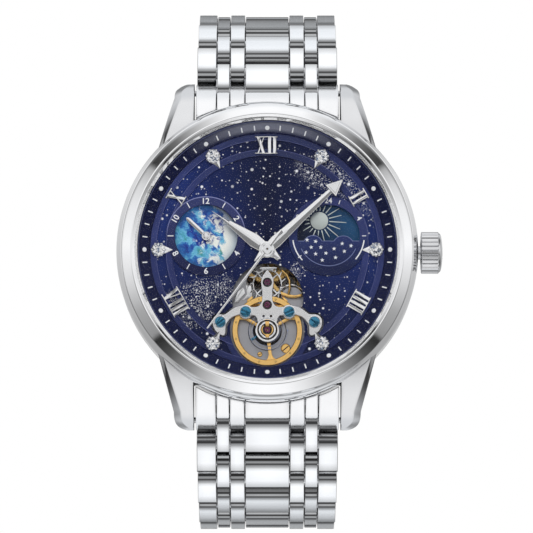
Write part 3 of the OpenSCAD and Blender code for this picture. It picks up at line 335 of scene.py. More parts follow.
def round_grained(name, colour, centre, low, high, depth):
    """A metal with a grain in circles around a centre on the dial."""
    made = finish(name, colour)
    radius, turn, *_ = around(made, centre)
    along = out(add(made.node_tree, "ShaderNodeCombineXYZ", radius * LINES_PER_MM, turn, 0.0))
    return lined(made, along, (1.0, 3.0, 1.0), low, high, depth)


BALANCE = (0.0, -10.88)
LINES_PER_MM = 9.0
BRIGHT = (0.86, 0.865, 0.88)
SIDEWAYS = (9000.0, 300.0, 300.0)
polished = grained("polished_steel", (0.89, 0.895, 0.91), (900.0, 900.0, 2500.0), 0.05, 0.11, 0.004)
satin = grained("satin_steel", BRIGHT, SIDEWAYS, 0.14, 0.24, 0.02)
blade_steel = grained("blade_steel", (0.62, 0.63, 0.65), (12000.0, 500.0, 500.0), 0.22, 0.36, 0.04)
bridge_steel = grained("bridge_steel", (0.82, 0.82, 0.83), (700.0, 700.0, 16000.0), 0.2, 0.32, 0.03)
plate_steel = round_grained("plate_steel", (0.47, 0.47, 0.50), BALANCE, 0.28, 0.42, 0.05)
lug_steel = grained("lug_steel", (0.69, 0.695, 0.71), SIDEWAYS, 0.10, 0.18, 0.01)
gilt = grained("gilt_brass", (0.86, 0.58, 0.22), (6000.0, 6000.0, 800.0), 0.16, 0.28, 0.02)
gilt_light = grained("gilt_light", (1.0, 0.63, 0.22), (700.0, 700.0, 6000.0), 0.16, 0.26, 0.01)
blued = grained("blued_steel", (0.06, 0.24, 0.38), (5000.0, 5000.0, 900.0), 0.14, 0.22, 0.01)
spring_steel = grained("spring_steel", (0.35, 0.38, 0.5), (4000.0, 4000.0, 900.0), 0.2, 0.3, 0.02)
print("metals:", [m.name for m in bpy.data.materials if m.use_nodes])

# %% [markdown]
# ## Ruby, rubber, glass and stone
# The jewels and stones are small, so they need a clear highlight more than true depth. The crystal has an
# anti-reflection coating, which is why the dial looks uncovered from the front.

# %% Build the clear and soft finishes
def own_noise(material, scale):
    """A noise over the whole watch, for a material."""
    return noise(object_place(material.node_tree), scale)


def matt_black(name, value, low, high):
    """A dark soft finish with a fine speckle in its gloss."""
    made = finish(name, (value, value, value * 1.1), 0.0, high)
    feed(made, Roughness=gloss(own_noise(made, 2500.0), low, high))
    return made


rubber = matt_black("seal_rubber", 0.03, 0.6, 0.85)
# Near black that stands in for shade: in gaps, grooves, screw slots and on the lugs' inner faces
shade_black = matt_black("painted_shade_black", 0.012, 0.4, 0.6)
ruby = finish("ruby", (0.08, 0.005, 0.045), 0.0, 0.14, Coat_Weight=0.4, Coat_Roughness=0.05)
feed(ruby, Base_Color=mix(own_noise(ruby, 900.0), (0.04, 0.002, 0.02), (0.13, 0.008, 0.07)))
sapphire = finish("sapphire", (0.02, 0.02, 0.03), 0.0, 0.03, Alpha=0.04, IOR=1.4)
feed(sapphire, Roughness=gloss(own_noise(sapphire, 60.0), 0.02, 0.05))
print_white = finish("white_print", (0.86, 0.88, 0.90), 0.0, 0.45)
feed(print_white, Base_Color=mix(own_noise(print_white, 4000.0), (0.80, 0.82, 0.86), (0.92, 0.93, 0.95)))

# Each facet of a stone is painted dark, blue-grey or with a white glint by chance, standing in for its
# reflections
stone = finish("clear_stone", (0.93, 0.95, 1.0), 0.85, 0.04, IOR=1.9)
facets = add(stone.node_tree, "ShaderNodeTexVoronoi", object_place(stone.node_tree), None, 4200.0)
chance = out(add(stone.node_tree, "ShaderNodeSeparateColor", out(facets, "Color")))
PAINTED_GLINTS = [(0.0, (0.12, 0.15, 0.22)), (0.24, (0.30, 0.36, 0.48)), (0.34, (1.0, 1.0, 1.0)),
          (1.0, (1.0, 1.0, 1.0))]
feed(stone, Base_Color=ramp(chance, PAINTED_GLINTS))
print("clear and soft finishes: 6")

# %% [markdown]
# ## Making solid pieces
# Three ways cover the watch. A flat outline can be filled, extruded and bevelled as a 2D curve. A round part
# is a profile turned about an axis. A CAD solid can be copied, its flat faces merged, and its edges bevelled.

# %% Words for making pieces
def mesh_of(work, place=None, tidy=True):
    """Ends a bmesh and returns its mesh. Tidied means doubled points merged and faces turned outwards."""
    if place is not None:
        bmesh.ops.transform(work, matrix=place, verts=work.verts)
    if tidy:
        bmesh.ops.remove_doubles(work, verts=work.verts, dist=1e-7)
        bmesh.ops.recalc_face_normals(work, faces=work.faces)
    mesh = bpy.data.meshes.new("mesh")
    work.to_mesh(mesh)
    work.free()
    return mesh


def joined(meshes, tidy=False):
    """One mesh of several."""
    work = bmesh.new()
    for mesh in meshes:
        work.from_mesh(mesh)
    return mesh_of(work, tidy=tidy)


def evaluated(made):
    """Mesh of an object after its modifiers."""
    bpy.context.view_layer.update()
    return bpy.data.meshes.new_from_object(made.evaluated_get(bpy.context.evaluated_depsgraph_get()))


def curve_mesh(lines, closed, place, **settings):
    """Mesh of a curve through lines of flat or solid points."""
    drawing = bpy.data.curves.new("drawing", "CURVE")
    for key, value in settings.items():
        setattr(drawing, key, value)
    for points in lines:
        line = drawing.splines.new("POLY")
        line.points.add(len(points) - 1)
        for point, co in zip(line.points, points):
            point.co = (*co, 0.0, 1.0) if len(co) == 2 else (*co, 1.0)
        line.use_cyclic_u = closed
    holder = bpy.data.objects.new("drawing", drawing)
    mesh = bpy.data.meshes.new_from_object(holder)
    bpy.data.objects.remove(holder)
    mesh.transform(place)
    return mesh


def sheet(outlines, z0, z1, bevel, place=UPRIGHT):
    """Mesh of filled outlines between two heights, with rounded edges. Inner outlines cut holes."""
    middle = place @ Matrix.Translation((0, 0, (z0 + z1) / 2))
    mesh = curve_mesh(outlines, True, middle, dimensions="2D", fill_mode="BOTH",
                      extrude=(z1 - z0) / 2 - bevel, bevel_depth=bevel,
                      bevel_resolution=2 if bevel > 0.03 else 1, offset=-bevel)
    return joined([mesh], tidy=True)


def wire(points, r, place, sides=3):
    """Mesh of a round wire along flat or solid points."""
    return curve_mesh([points], False, place, dimensions="3D", bevel_depth=r, bevel_resolution=sides,
                      use_fill_caps=True)


def turned(profile, place, count=128):
    """Mesh of a profile of (radius, height) turned about the place's z axis."""
    work = bmesh.new()
    columns = []
    for i in range(count):
        a = 2 * math.pi * i / count
        columns.append([work.verts.new((r * math.cos(a), r * math.sin(a), z)) for r, z in profile])
    for i in range(count):
        left, right = columns[i], columns[(i + 1) % count]
        for j in range(len(profile) - 1):
            work.faces.new((left[j], right[j], right[j + 1], left[j + 1]))
    return mesh_of(work, place)


def loft(rows, place):
    """Mesh through closed rings of points, with both ends closed."""
    work = bmesh.new()
    rings = [[work.verts.new(point) for point in row] for row in rows]
    for low, high in zip(rings, rings[1:]):
        for i in range(len(low)):
            j = (i + 1) % len(low)
            work.faces.new((low[i], low[j], high[j], high[i]))
    work.faces.new(rings[0])
    work.faces.new(rings[-1][::-1])
    return mesh_of(work, place)


def arc(r, a0, a1, count, cx=0.0, cy=0.0):
    """Points of an arc between two angles in degrees."""
    turns = [math.radians(a0 + (a1 - a0) * i / count) for i in range(count + 1)]
    return [(cx + r * math.cos(a), cy + r * math.sin(a)) for a in turns]


def circle(r, cx=0.0, cy=0.0, count=64):
    """Points of a circle."""
    return arc(r, 0.0, 360.0, count, cx, cy)[:-1]


def oblong(w, h, dx=0.0, dy=0.0):
    """Corners of a rectangle with two half sizes."""
    return [(dx - w, dy - h), (dx + w, dy - h), (dx + w, dy + h), (dx - w, dy + h)]


PRINTED = 0.03


def figure(text, size, place, bold):
    """Mesh of a printed figure, centred on its place."""
    words = bpy.data.curves.new("figures", "FONT")
    words.body = text
    words.size = size
    words.align_x = "CENTER"
    words.align_y = "CENTER"
    words.extrude = PRINTED / 2
    words.offset = bold
    holder = linked("figures", words)
    mesh = evaluated(holder)
    bpy.data.objects.remove(holder)
    mid = [(min(v.co[i] for v in mesh.vertices) + max(v.co[i] for v in mesh.vertices)) / 2 for i in (0, 1)]
    mesh.transform(place @ Matrix.Translation((-mid[0], -mid[1], PRINTED / 2)))
    return mesh


def piece(name, shape, material, body="case", replaces=(), smooth=30.0):
    """Makes a mesh, or a list of meshes, a piece that rides on a body and is shaded smooth up to an angle."""
    mesh = joined(shape) if isinstance(shape, list) else shape
    made = linked(name, mesh)
    if material and not mesh.materials:
        mesh.materials.append(material)
    mesh.shade_smooth()
    mesh.set_sharp_from_angle(angle=math.radians(smooth))
    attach(made, body)
    for node in replaces:
        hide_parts(node)


def paint(material, *names):
    """Gives CAD nodes a material."""
    for name in names:
        data = nodes[name].data
        for index in range(len(data.materials)):
            data.materials[index] = material


def two_tone(mesh, first, second, chooses):
    """Gives a mesh two materials, the second where a rule chooses a face."""
    mesh.materials.append(first)
    mesh.materials.append(second)
    for face in mesh.polygons:
        face.material_index = 1 if chooses(face) else 0


# %% [markdown]
# A CAD copy keeps the solid's form and only softens its edges, as a polishing wheel does. The Bevel and
# Weighted Normal modifiers do that; they are applied, so the piece is plain mesh.

# %% Copy a CAD node with softened edges
EDGE_ANGLE = math.radians(30.0)


def dressed(node, width, material, segments=2, body="case"):
    """Puts a copy with bevelled edges in the place of a CAD node."""
    work = bmesh.new()
    work.from_mesh(nodes[node].data)
    bmesh.ops.remove_doubles(work, verts=work.verts, dist=2e-6)
    bmesh.ops.dissolve_degenerate(work, edges=work.edges, dist=2e-6)
    bmesh.ops.dissolve_limit(work, angle_limit=math.radians(0.5), verts=work.verts, edges=work.edges)
    bmesh.ops.recalc_face_normals(work, faces=work.faces)
    mesh = nodes[node].data.copy()
    work.to_mesh(mesh)
    work.free()
    mesh.materials.clear()
    made = linked(node + "_dressed", mesh)
    mesh.materials.append(material)
    if mesh.attributes.get("custom_normal"):
        mesh.attributes.remove(mesh.attributes["custom_normal"])
    mesh.shade_smooth()
    mesh.set_sharp_from_angle(angle=EDGE_ANGLE)
    edges = made.modifiers.new("Edges", "BEVEL")
    edges.width = width * MM
    edges.segments = segments
    edges.limit_method = "ANGLE"
    edges.angle_limit = EDGE_ANGLE
    edges.use_clamp_overlap = False
    edges.harden_normals = False
    made.modifiers.new("Shading", "WEIGHTED_NORMAL").keep_sharp = False
    result = evaluated(made)
    made.modifiers.clear()
    made.data = result
    result.set_sharp_from_angle(angle=math.radians(50.0))
    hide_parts(node)
    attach(made, body)


# %% [markdown]
# ## The case, its lugs and the bezel
# The flank and the bezel are turned on a lathe, so their profiles are turned here too. A lug is a loft: rings
# of points across it follow its arch, and each ring has the wide polished bevel and the small rounded edges.

# %% Words for the lugs
ARCH_Y, ARCH_Z, ARCH_R = 11.0, -4.6, 14.15


def arch(y):
    """Height of the arched top of the lugs and end links."""
    return ARCH_Z + math.sqrt(ARCH_R ** 2 - (y - ARCH_Y) ** 2)


def lug_edge(y):
    """Outer edge of a lug in plan, which rounds into the tip."""
    if y < 21.6:
        return 12.74 + 2.06 * (21.6 - y) / 7.6
    return 10.0 + 2.74 * math.sqrt(max(0.0, 1 - ((y - 21.6) / 2.4) ** 3.2))


def lug_row(s):
    """Ring of points across a lug, at a share of its length."""
    y0, y1 = 16.3 + 7.62 * s, 11.9 + 12.02 * s
    edge, top0, top1 = lug_edge(y1), arch(y0), arch(y1)
    low0, low1 = [0.85 - 0.036 * (y - 12) + 0.72 * (max(0.0, y - 22.9) / 1.02) ** 2 for y in (y0, y1)]
    room = top1 - low1
    band = min(0.6 + 0.45 * s * s, 0.6 * (edge - 10))
    drop = min(0.5 + 0.8 * s * s, 0.75 * room)
    soft = min(0.12, 0.2 * room)
    ring = [(10.0, y0, low0 + soft), (10.0, y0, top0 - soft), (10.05, y0, top0 - 0.3 * soft),
            (10.14, y0, top0)]
    for i in range(1, 7):
        y = y0 + (y1 - y0) * i / 6
        ring.append((10.14 + (edge - band - 10.2) * i / 6, y, arch(y)))
    ring += [(edge - band + 0.05, y1, top1 - 0.06 * drop), (edge - 0.07, y1, top1 - drop + 0.04)]
    ring += [(edge, y1, top1 - drop - 0.4 * soft), (edge, y1, low1 + soft), (edge - 0.1, y1, low1)]
    return ring + [(10.1, y0, low0)]


# %% Turn the case and the bezel, and add the lugs
seam, dial_floor, plate_floor = rear("bezel"), rear("dial"), rear("main_plate")
flank = [(17.45, 0.6), (19.1, 0.6), (19.2, 0.63), (20.12, 1.52), (20.2, 1.63), (20.46, 2.25), (20.5, 2.4),
         (20.5, 8.22), (20.47, 8.4), (20.2, 9.3), (20.12, 9.43), (19.84, seam - 0.04), (19.74, seam),
         (18.03, seam), (18.03, dial_floor), (16.55, dial_floor), (16.55, plate_floor), (16.05, plate_floor),
         (16.05, 1.35), (17.45, 1.35), (17.45, 0.6)]
piece("case_turned", turned(flank, UPRIGHT, 256), polished, replaces=("mid_case",), smooth=32.0)
rows = [lug_row(1 - (1 - i / 30) ** 1.8) for i in range(31)]
lugs = joined([loft(rows, UPRIGHT @ Matrix.Diagonal((sx, sy, 1, 1))) for sx in (1, -1) for sy in (1, -1)])
# Painted shade: the lugs' inner faces, beside the end links, are near black
two_tone(lugs, lug_steel, shade_black, lambda face: abs(face.center.x) < 10.03 * MM)
piece("lugs", lugs, None, smooth=32.0)
BEZEL = [(17.6, 0.0), (19.66, 0.0), (19.74, 0.03), (19.76, 0.1), (19.7, 0.2), (18.56, 1.14), (18.49, 1.185),
         (18.42, 1.2), (18.34, 1.2), (18.28, 1.17), (18.0, 0.9), (17.99, 0.4), (17.6, 0.4), (17.6, 0.0)]
bezel = turned([(r, seam + height) for r, height in BEZEL], UPRIGHT, 256)
piece("bezel_turned", bezel, polished, replaces=("bezel",), smooth=40.0)
print("bezel crest at", round(seam + 1.2, 2), "mm")

# %% [markdown]
# ## The bracelet
# A bracelet link is a row of bars that interlock with the next row. Each bar is a side view pushed through
# its width, with a round near end, eased far corners and polished edges beside a satin face. The Curve tool
# makes such a bar in one go, so every link is built from the same drawing, at its own hinge and slope.

# %% Draw the bars
LUG_REACH, PITCH, FIRST_SLOPE, LINK_TURN, LINKS = 24.0, 6.0, 33.0, 16.4, 8
LINK_R, EASED = 1.5, 0.32
NEAR_START, FAR_START, BAR_LENGTH = -1.4, 1.6, 5.8
CYCLIC = Matrix(((0, 0, 1, 0), (1, 0, 0, 0), (0, 1, 0, 0), (0, 0, 0, 1)))
FLIPS = {"12": Matrix.Identity(4), "6": Matrix.Scale(-1, 4, (0, 1, 0))}


def slope(k):
    """Slope of a link, in degrees."""
    return FIRST_SLOPE + LINK_TURN * (k - 1)


hinges = [(LUG_REACH - 1.45, 1.6)]
for k in range(1, LINKS):
    a = math.radians(slope(k))
    y, z = hinges[-1]
    hinges.append((y + PITCH * math.cos(a), z - PITCH * math.sin(a)))


def outer_edge(k):
    """Half width of a link."""
    return 9.75 - 0.09 * k


def bars_of(k):
    """Bars of a link as (x0, x1, near row or not), from left to right."""
    right = [(3.12, 5.08, False), (5.2, 6.9, True), (7.02, outer_edge(k), False)]
    return [(-b, -a, near) for a, b, near in reversed(right)] + [(-3.0, 3.0, True)] + right


def bar_outline(start):
    """Side view of a bar: s along the link, t out of it."""
    stop = start + BAR_LENGTH - EASED
    low = arc(EASED, 270, 360, 5, stop, EASED - LINK_R)
    high = arc(EASED, 0, 90, 5, stop, LINK_R - EASED)
    return arc(LINK_R, 90, 270, 20, start + LINK_R) + low + high


def in_near_row(x):
    """Whether a place across a link is on a bar of the near row."""
    return abs(x) < 3.06 or 5.14 < abs(x) < 6.96


def satin_faces(mesh, place):
    """Gives outer and inner faces the second material and flanks the third, and stores the place along."""
    level = (place.to_3x3() @ Vector((0, 1, 0))).normalized()
    along, back = mesh.attributes.new("along", "FLOAT", "POINT"), place.inverted()
    for face in mesh.polygons:
        s, t, x = back @ face.center
        near = in_near_row(x)
        near_end = s < (0.1 if near else 3.1) and t > -0.6
        far_end = s > (4.0 if near else 7.0) and t > 0.2
        end = (near_end or far_end) and abs(face.normal.x) < 0.3
        shown = end or abs(face.normal.dot(level)) > 0.97
        face.material_index = 1 if shown else 2 if abs(face.normal.x) > 0.9 else 0
    for item, vertex in zip(along.data, mesh.vertices):
        s, _, x = back @ vertex.co
        item.value = (s - (NEAR_START if in_near_row(x) else FAR_START)) / BAR_LENGTH


def bracelet_link(side, k):
    """Builds a link from its bars, the web that ties them and the pin that it turns on."""
    y, z = hinges[k - 1]
    at_hinge = Matrix.Translation((0, y, z)) @ Matrix.Rotation(math.radians(-slope(k)), 4, "X")
    place = UPRIGHT @ FLIPS[side] @ at_hinge @ CYCLIC
    bars = [sheet([bar_outline(NEAR_START if near else FAR_START)], x0, x1, 0.09, place)
            for x0, x1, near in bars_of(k)]
    web = outer_edge(k) - 0.5
    bars.append(sheet([oblong(1.05, 0.8, 3.0)], -web, web, 0.05, place))
    if k > 1:
        pin = outer_edge(k - 1) - 0.9
        bars.append(sheet([circle(0.5, count=32)], -pin, pin, 0.08, place))
    mesh = joined(bars)
    for material in (polished, bar_satin_painted_shading, flank_satin_shaded):
        mesh.materials.append(material)
    satin_faces(mesh, place)
    name = f"link_{side}_{k}"
    piece(name + "_bars", mesh, None, name, replaces=(name,), smooth=35.0)


# %% Finish and build the links
# Painted shade and highlight along each bar's satin face: dark and light lines over the near end's rounding,
# white in the middle and grey towards the far end
BAR_PAINTED_SHADING = [(0.0, 0.03), (0.02, 0.03), (0.03, 0.38), (0.055, 0.50), (0.07, 0.06), (0.10, 0.05),
             (0.115, 0.38), (0.15, 0.36), (0.17, 0.07), (0.20, 0.07), (0.22, 0.26), (0.27, 0.38),
             (0.34, 0.76), (0.42, 0.93), (0.74, 0.90), (0.93, 0.58), (0.945, 0.50), (0.955, 0.02),
             (1.0, 0.02)]
# Painted shade: the bars' flanks, which face each other across narrow gaps, are a darker copy of the satin
# steel
flank_satin_shaded = grained("flank_satin_shaded", (0.56, 0.565, 0.58), (300.0, 9000.0, 300.0), 0.2, 0.3, 0.02)
bar_satin_painted_shading = grained("bar_satin_painted_shading", BRIGHT, SIDEWAYS, 0.14, 0.24, 0.02)
along = out(add(bar_satin_painted_shading.node_tree, "ShaderNodeAttribute", attribute_name="along"), "Fac")
feed(bar_satin_painted_shading, Base_Color=grey_ramp(along, BAR_PAINTED_SHADING, (1.0, 1.02, 1.05)))
for side in FLIPS:
    for k in range(1, LINKS + 1):
        bracelet_link(side, k)
print("links:", 2 * LINKS, "with", len(bars_of(1)), "bars each")

# %% [markdown]
# The end links fill the gap between the lugs. Each bar is a side view again, but its top follows the lugs'
# arch and its inner end follows the round case, so it is lofted across its width.

# %% Build the end links
def end_bar(x0, x1, finger, flip):
    """A bar of an end link. A finger reaches over the spring bar, others are hollow round the first link."""
    lanes = [(x0, 0.09), (x0 + 0.03, 0.03), (x0 + 0.09, 0.0)]
    lanes += [(x0 + (x1 - x0) * i / 6, 0.0) for i in range(1, 6)]
    lanes += [(x1 - 0.09, 0.0), (x1 - 0.03, 0.03), (x1, 0.09)]
    stop = 23.62 if finger else 22.38
    rows = []
    for x, inset in lanes:
        start = math.sqrt(20.62 ** 2 - x * x) + inset + (0.22 if abs(x) > 7 else 0.0)
        side = [(start, 0.95 + inset), (start, arch(start) - 0.12 - inset),
                (start + 0.05, arch(start + 0.05) - 0.04 - inset)]
        for i in range(15):
            y = start + 0.12 + (stop - start - 0.12) * i / 14
            side.append((y, arch(y) - inset))
        if finger:
            side += [(23.8 - inset, 1.42 - inset), (23.88 - inset, 1.22), (23.84 - inset, 1.05),
                     (23.74 - inset, 0.97), (23.6, 0.95 + inset)]
        else:
            side += [(22.46 - inset, 3.6 - inset), (22.5 - inset, 3.48), (22.5 - inset, 3.3)]
            side += [(y - inset, z) for y, z in arc(1.64, 95, 172, 8, 22.55, 1.6)] + [(20.9, 0.95 + inset)]
        rows.append([(x, y, z) for y, z in side])
    return loft(rows, UPRIGHT @ flip)


# Painted shadow: a near-black sheet fills the seam between each end link and the case
SEAM_SHADOW = [(20.68, 1.0), (20.85, 1.0), (20.85, 3.0), (21.35, 3.3), (21.8, 3.3), (21.8, 3.7), (20.68, 3.7)]
seam_shadows = []
for side, flip in FLIPS.items():
    bars = [end_bar(-3.0, 3.0, False, flip)]
    for a, b, finger in ((3.12, 5.08, True), (5.2, 6.9, False), (7.02, 9.76, True)):
        bars += [end_bar(-b, -a, finger, flip), end_bar(a, b, finger, flip)]
    seam_shadows.append(sheet([SEAM_SHADOW], -9.7, 9.7, 0.02, UPRIGHT @ flip @ CYCLIC))
    piece("end_link_" + side, bars, satin, replaces=("end_links",) if side == "12" else (), smooth=32.0)
piece("end_link_seams", seam_shadows, shade_black)
paint(blade_steel, "spring_bars", "crown_tube", "winding_stem", "clasp_middle_blade", "clasp_inner_blade")
paint(satin, "clasp_cover")
print("end links: 7 bars each")

# %% [markdown]
# ## The crown
# The crown is gripped by its flutes, so its outline is a toothed circle. The outline is extruded with a
# rounded edge, and a turned cap with a dome closes it.

# %% Build the crown
crown_lo, crown_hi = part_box("crown")
crown_x, crown_z = crown_lo.x / MM, -(crown_lo.y + crown_hi.y) / 2 / MM
CROWN_R, FLUTES = 2.85, 28
fluted = []
for i in range(FLUTES * 12):
    a = 2 * math.pi * i / (FLUTES * 12)
    r = CROWN_R - 0.2 * max(0.0, math.cos(FLUTES * a)) ** 1.6
    fluted.append((r * math.cos(a), r * math.sin(a)))
stem = spot(crown_x, 0, crown_z) @ Matrix.Rotation(math.pi / 2, 4, "Y")
dome = [(2.62, 2.3), (2.7, 2.42), (2.66, 2.56), (2.5, 2.7), (2.2, 2.8), (1.6, 2.9), (0.8, 2.97), (0.0, 3.0)]
crown_parts = [sheet([fluted, circle(1.6)], 0.05, 2.45, 0.14, stem), turned(dome, stem),
               turned([(1.6, 0.0), (2.3, 0.0), (2.4, 0.1), (2.4, 2.3)], stem),
               turned([(0.0, 1.9), (1.0, 1.9), (1.0, 2.05), (2.5, 2.05), (2.5, 2.3)], stem, 48)]
piece("crown_fluted", crown_parts, lug_steel, "crown", replaces=("crown",), smooth=40.0)
paint(rubber, "crown_seal", "back_gasket")
print("crown at x", round(crown_x, 2), "z", round(crown_z, 2))

# %% [markdown]
# ## The starry dial
# The real dial is a glossy lacquer with printed stars. It is deep navy. The royal blue where light falls
# through it is painted light, and the near black at the top and the darker bottom are painted shade.
# Two raised bands are paler. Distance and clock angle from the polar group place all of that, and Voronoi
# cells give one star each, with its own size and brightness.

# %% Build the star group
stars = bpy.data.node_groups.new("Stars", "ShaderNodeTree")
given = sockets(stars, {"Scale": "Float", "Size": "Float", "Share": "Float", "Seed": "Float",
                        "Vector": "Vector"},
                {"Light": "Float"})
seed = given["Seed"]
moved = vector("ADD", given["Vector"], out(add(stars, "ShaderNodeCombineXYZ", seed, seed, 0.0)))
cells = add(stars, "ShaderNodeTexVoronoi", moved, None, given["Scale"], voronoi_dimensions="2D")
chance, own_size, own_light = outs(add(stars, "ShaderNodeSeparateColor", out(cells, "Color")))
size = given["Size"] * (own_size * 0.6 + 0.4)
dot = 1.0 - calc("MINIMUM", out(cells, "Distance") / size, 1.0)
strength = calc("LESS_THAN", chance, given["Share"]) * (own_light * 0.45 + 0.55)
add(stars, "NodeGroupOutput", calc("MINIMUM", dot * 3.0, 1.0) * strength)

# %% Words for the dial's lacquer
NAVY, LIT_ROYAL, SHADE_BLACK_BLUE = (0.011, 0.017, 0.070), (0.020, 0.040, 0.19), (0.009, 0.012, 0.035)
lacquer = finish("dial_lacquer", NAVY, 0.0, 0.3, Specular_IOR_Level=0.08)
radius, turn, east, north, flat = around(lacquer)


def star_layer(scale, size, share, seed):
    """Light of one layer of stars."""
    return group(lacquer.node_tree, stars, Vector=flat, Scale=scale, Size=size, Share=share, Seed=seed)[0]


def drift(x0, y0, x1, y1, width):
    """A soft streak between two points, where specks crowd together."""
    length = math.hypot(x1 - x0, y1 - y0)
    ux, uy = (x1 - x0) / length, (y1 - y0) / length
    px, py = east - x0, north - y0
    across = calc("ABSOLUTE", px * uy - py * ux)
    return within(px * ux + py * uy, 0.0, length, length * 0.3) * fade(across, width, 0.0)


# %% Build the dial's lacquer
cloudy = noise(flat, 0.16, 3.0, 0.55)
# Painted light and shade: lighter royal blue on the sides, near black at the top and darker towards the
# bottom
painted_side_light = (within(turn, 0.72, 0.93, 0.09) | within(turn, 0.17, 0.33, 0.08)) * fade(radius, 3.0, 12.0, 0.15, 1.0)
painted_side_light = painted_side_light * fade(cloudy, 0.3, 0.62, 0.35, 1.0)
painted_top_shade = fade(calc("PINGPONG", turn, 0.5), 0.0, 0.13, 1.0, 0.0) * 0.85
painted_low_shade = fade(north, -3.0, -12.0, 0.0, 0.6)
ground = mix(painted_top_shade | painted_low_shade, mix(painted_side_light, NAVY, LIT_ROYAL), SHADE_BLACK_BLUE)
light = star_layer(0.9, 0.145, 0.5, 3.0) | star_layer(1.5, 0.12, 0.28, 11.0)
light = light | star_layer(0.5, 0.125, 0.5, 7.0)
streaks = drift(-15.0, -8.5, -6.5, -5.0, 2.4)
for line in ((5.6, 11.2, 13.4, 7.4, 2.3), (8.5, 12.5, 14.5, 5.5, 1.6), (-11.5, -10.0, -8.0, -8.5, 1.3),
             (3.6, -2.2, 4.8, -3.2, 1.3), (-7.0, -4.5, -4.8, -6.5, 1.2)):
    streaks = streaks | drift(*line)
torn = fade(noise(flat, 0.9, 4.0, 0.65), 0.36, 0.50)
dust = star_layer(4.8, 0.46, 0.8, 5.0) * torn * fade(streaks, 0.05, 0.35)
sky = mix(light | dust * 0.9, ground, (0.92, 0.93, 0.96))

# The raised bands lie over the sky, and thin painted highlights mark their edges
heart_rim = within(around(lacquer, BALANCE)[0], 5.0, 5.8, 0.02) * within(radius, 13.0, 15.8, 0.02)
bands = within(radius, 15.03, 16.0, 0.02) | within(radius, 12.88, 13.77, 0.02) | heart_rim
band_tone = mix(painted_side_light, (0.026, 0.033, 0.105), (0.045, 0.060, 0.20))
band_tone = mix(painted_top_shade * 0.5, band_tone, (0.045, 0.055, 0.10))
edge_highlight = within(radius, 13.69, 13.76, 0.015) | within(radius, 15.05, 15.1, 0.015)
surface = mix(edge_highlight * 0.6, mix(bands, sky, band_tone), (0.16, 0.18, 0.42))
feed(lacquer, Base_Color=surface, Roughness=gloss(cloudy, 0.26, 0.34))
paint(lacquer, "dial")
print("dial lacquer has", len(lacquer.node_tree.nodes), "nodes")

# %% [markdown]
# ## Marks on the sloped ring
# Sixty marks that differ only by their turn are a job for Geometry Nodes: one tree places a mark around a
# circle, tilts it onto the slope and skips what is left out. The same tree serves every ring on the watch.

# %% Build the ring-of-marks tree
marks = bpy.data.node_groups.new("Ring_of_marks", "GeometryNodeTree")
given = sockets(marks, {"Geometry": "Geometry", "Mark": "Object", "Count": "Int", "Radius": "Float",
                        "Height": "Float", "Tilt": "Float", "Every": "Int", "Keep multiples": "Bool",
                        "Centre x": "Float", "Centre y": "Float", "First turn": "Float",
                        "Finish": "Material"},
                {"Geometry": "Geometry"})
index = out(add(marks, "GeometryNodeInputIndex"))
angle = index * (2 * math.pi / given["Count"]) + given["First turn"]
px = calc("SINE", angle) * given["Radius"] + given["Centre x"]
py = calc("COSINE", angle) * given["Radius"] + given["Centre y"]
place = out(add(marks, "ShaderNodeCombineXYZ", px, given["Height"] * -1.0, py))
points = out(add(marks, "GeometryNodePoints", given["Count"], place, 0.001))
modulo = calc("MODULO", index, given["Every"])
multiple = out(add(marks, "FunctionNodeCompare", modulo, 0.5, data_type="FLOAT", operation="LESS_THAN"))
chosen = out(add(marks, "FunctionNodeBooleanMath", multiple, given["Keep multiples"], operation="XNOR"))
shape = out(add(marks, "GeometryNodeObjectInfo", given["Mark"], transform_space="ORIGINAL"), "Geometry")
lean = out(add(marks, "ShaderNodeCombineXYZ", given["Tilt"], angle, 0.0))
copies = add(marks, "GeometryNodeInstanceOnPoints")
for source, name in ((points, "Points"), (chosen, "Selection"), (shape, "Instance"), (lean, "Rotation")):
    join(source, copies.inputs[name])
coloured = add(marks, "GeometryNodeSetMaterial", out(add(marks, "GeometryNodeRealizeInstances", out(copies))))
join(given["Finish"], coloured.inputs["Material"])
add(marks, "NodeGroupOutput", out(coloured))


def ring_of(name, drawn, material, slot, count, radius, height, centre=(0.0, 0.0), body="case", **values):
    """Bakes a ring of marks into one piece. The mark is drawn at 12 o'clock, standing upright."""
    mark = linked("mark", drawn)
    holder = linked(name, bpy.data.meshes.new(name))
    ring = holder.modifiers.new("Ring", "NODES")
    ring.node_group = marks
    settings = {"Mark": mark, "Count": count, "Radius": radius * MM, "Height": height * MM,
                "Finish": material, "Centre x": centre[0] * MM, "Centre y": centre[1] * MM,
                "Every": 1, "Keep multiples": True, "Tilt": 0.0, "First turn": 0.0}
    settings.update({key.replace("_", " "): value for key, value in values.items()})
    for item in marks.interface.items_tree:
        if item.in_out == "INPUT" and item.name in settings:
            ring[item.identifier] = settings[item.name]
    mesh = evaluated(holder)
    bpy.data.objects.remove(holder)
    bpy.data.objects.remove(mark)
    piece(name, mesh, material, body)


# %% Paint the sloped ring and set its marks
RING_BLUE = (0.007, 0.010, 0.045)
ring_paint = finish("ring_paint", RING_BLUE, 0.0, 0.28, Specular_IOR_Level=0.12)
radius, turn, _, _, flat = around(ring_paint)
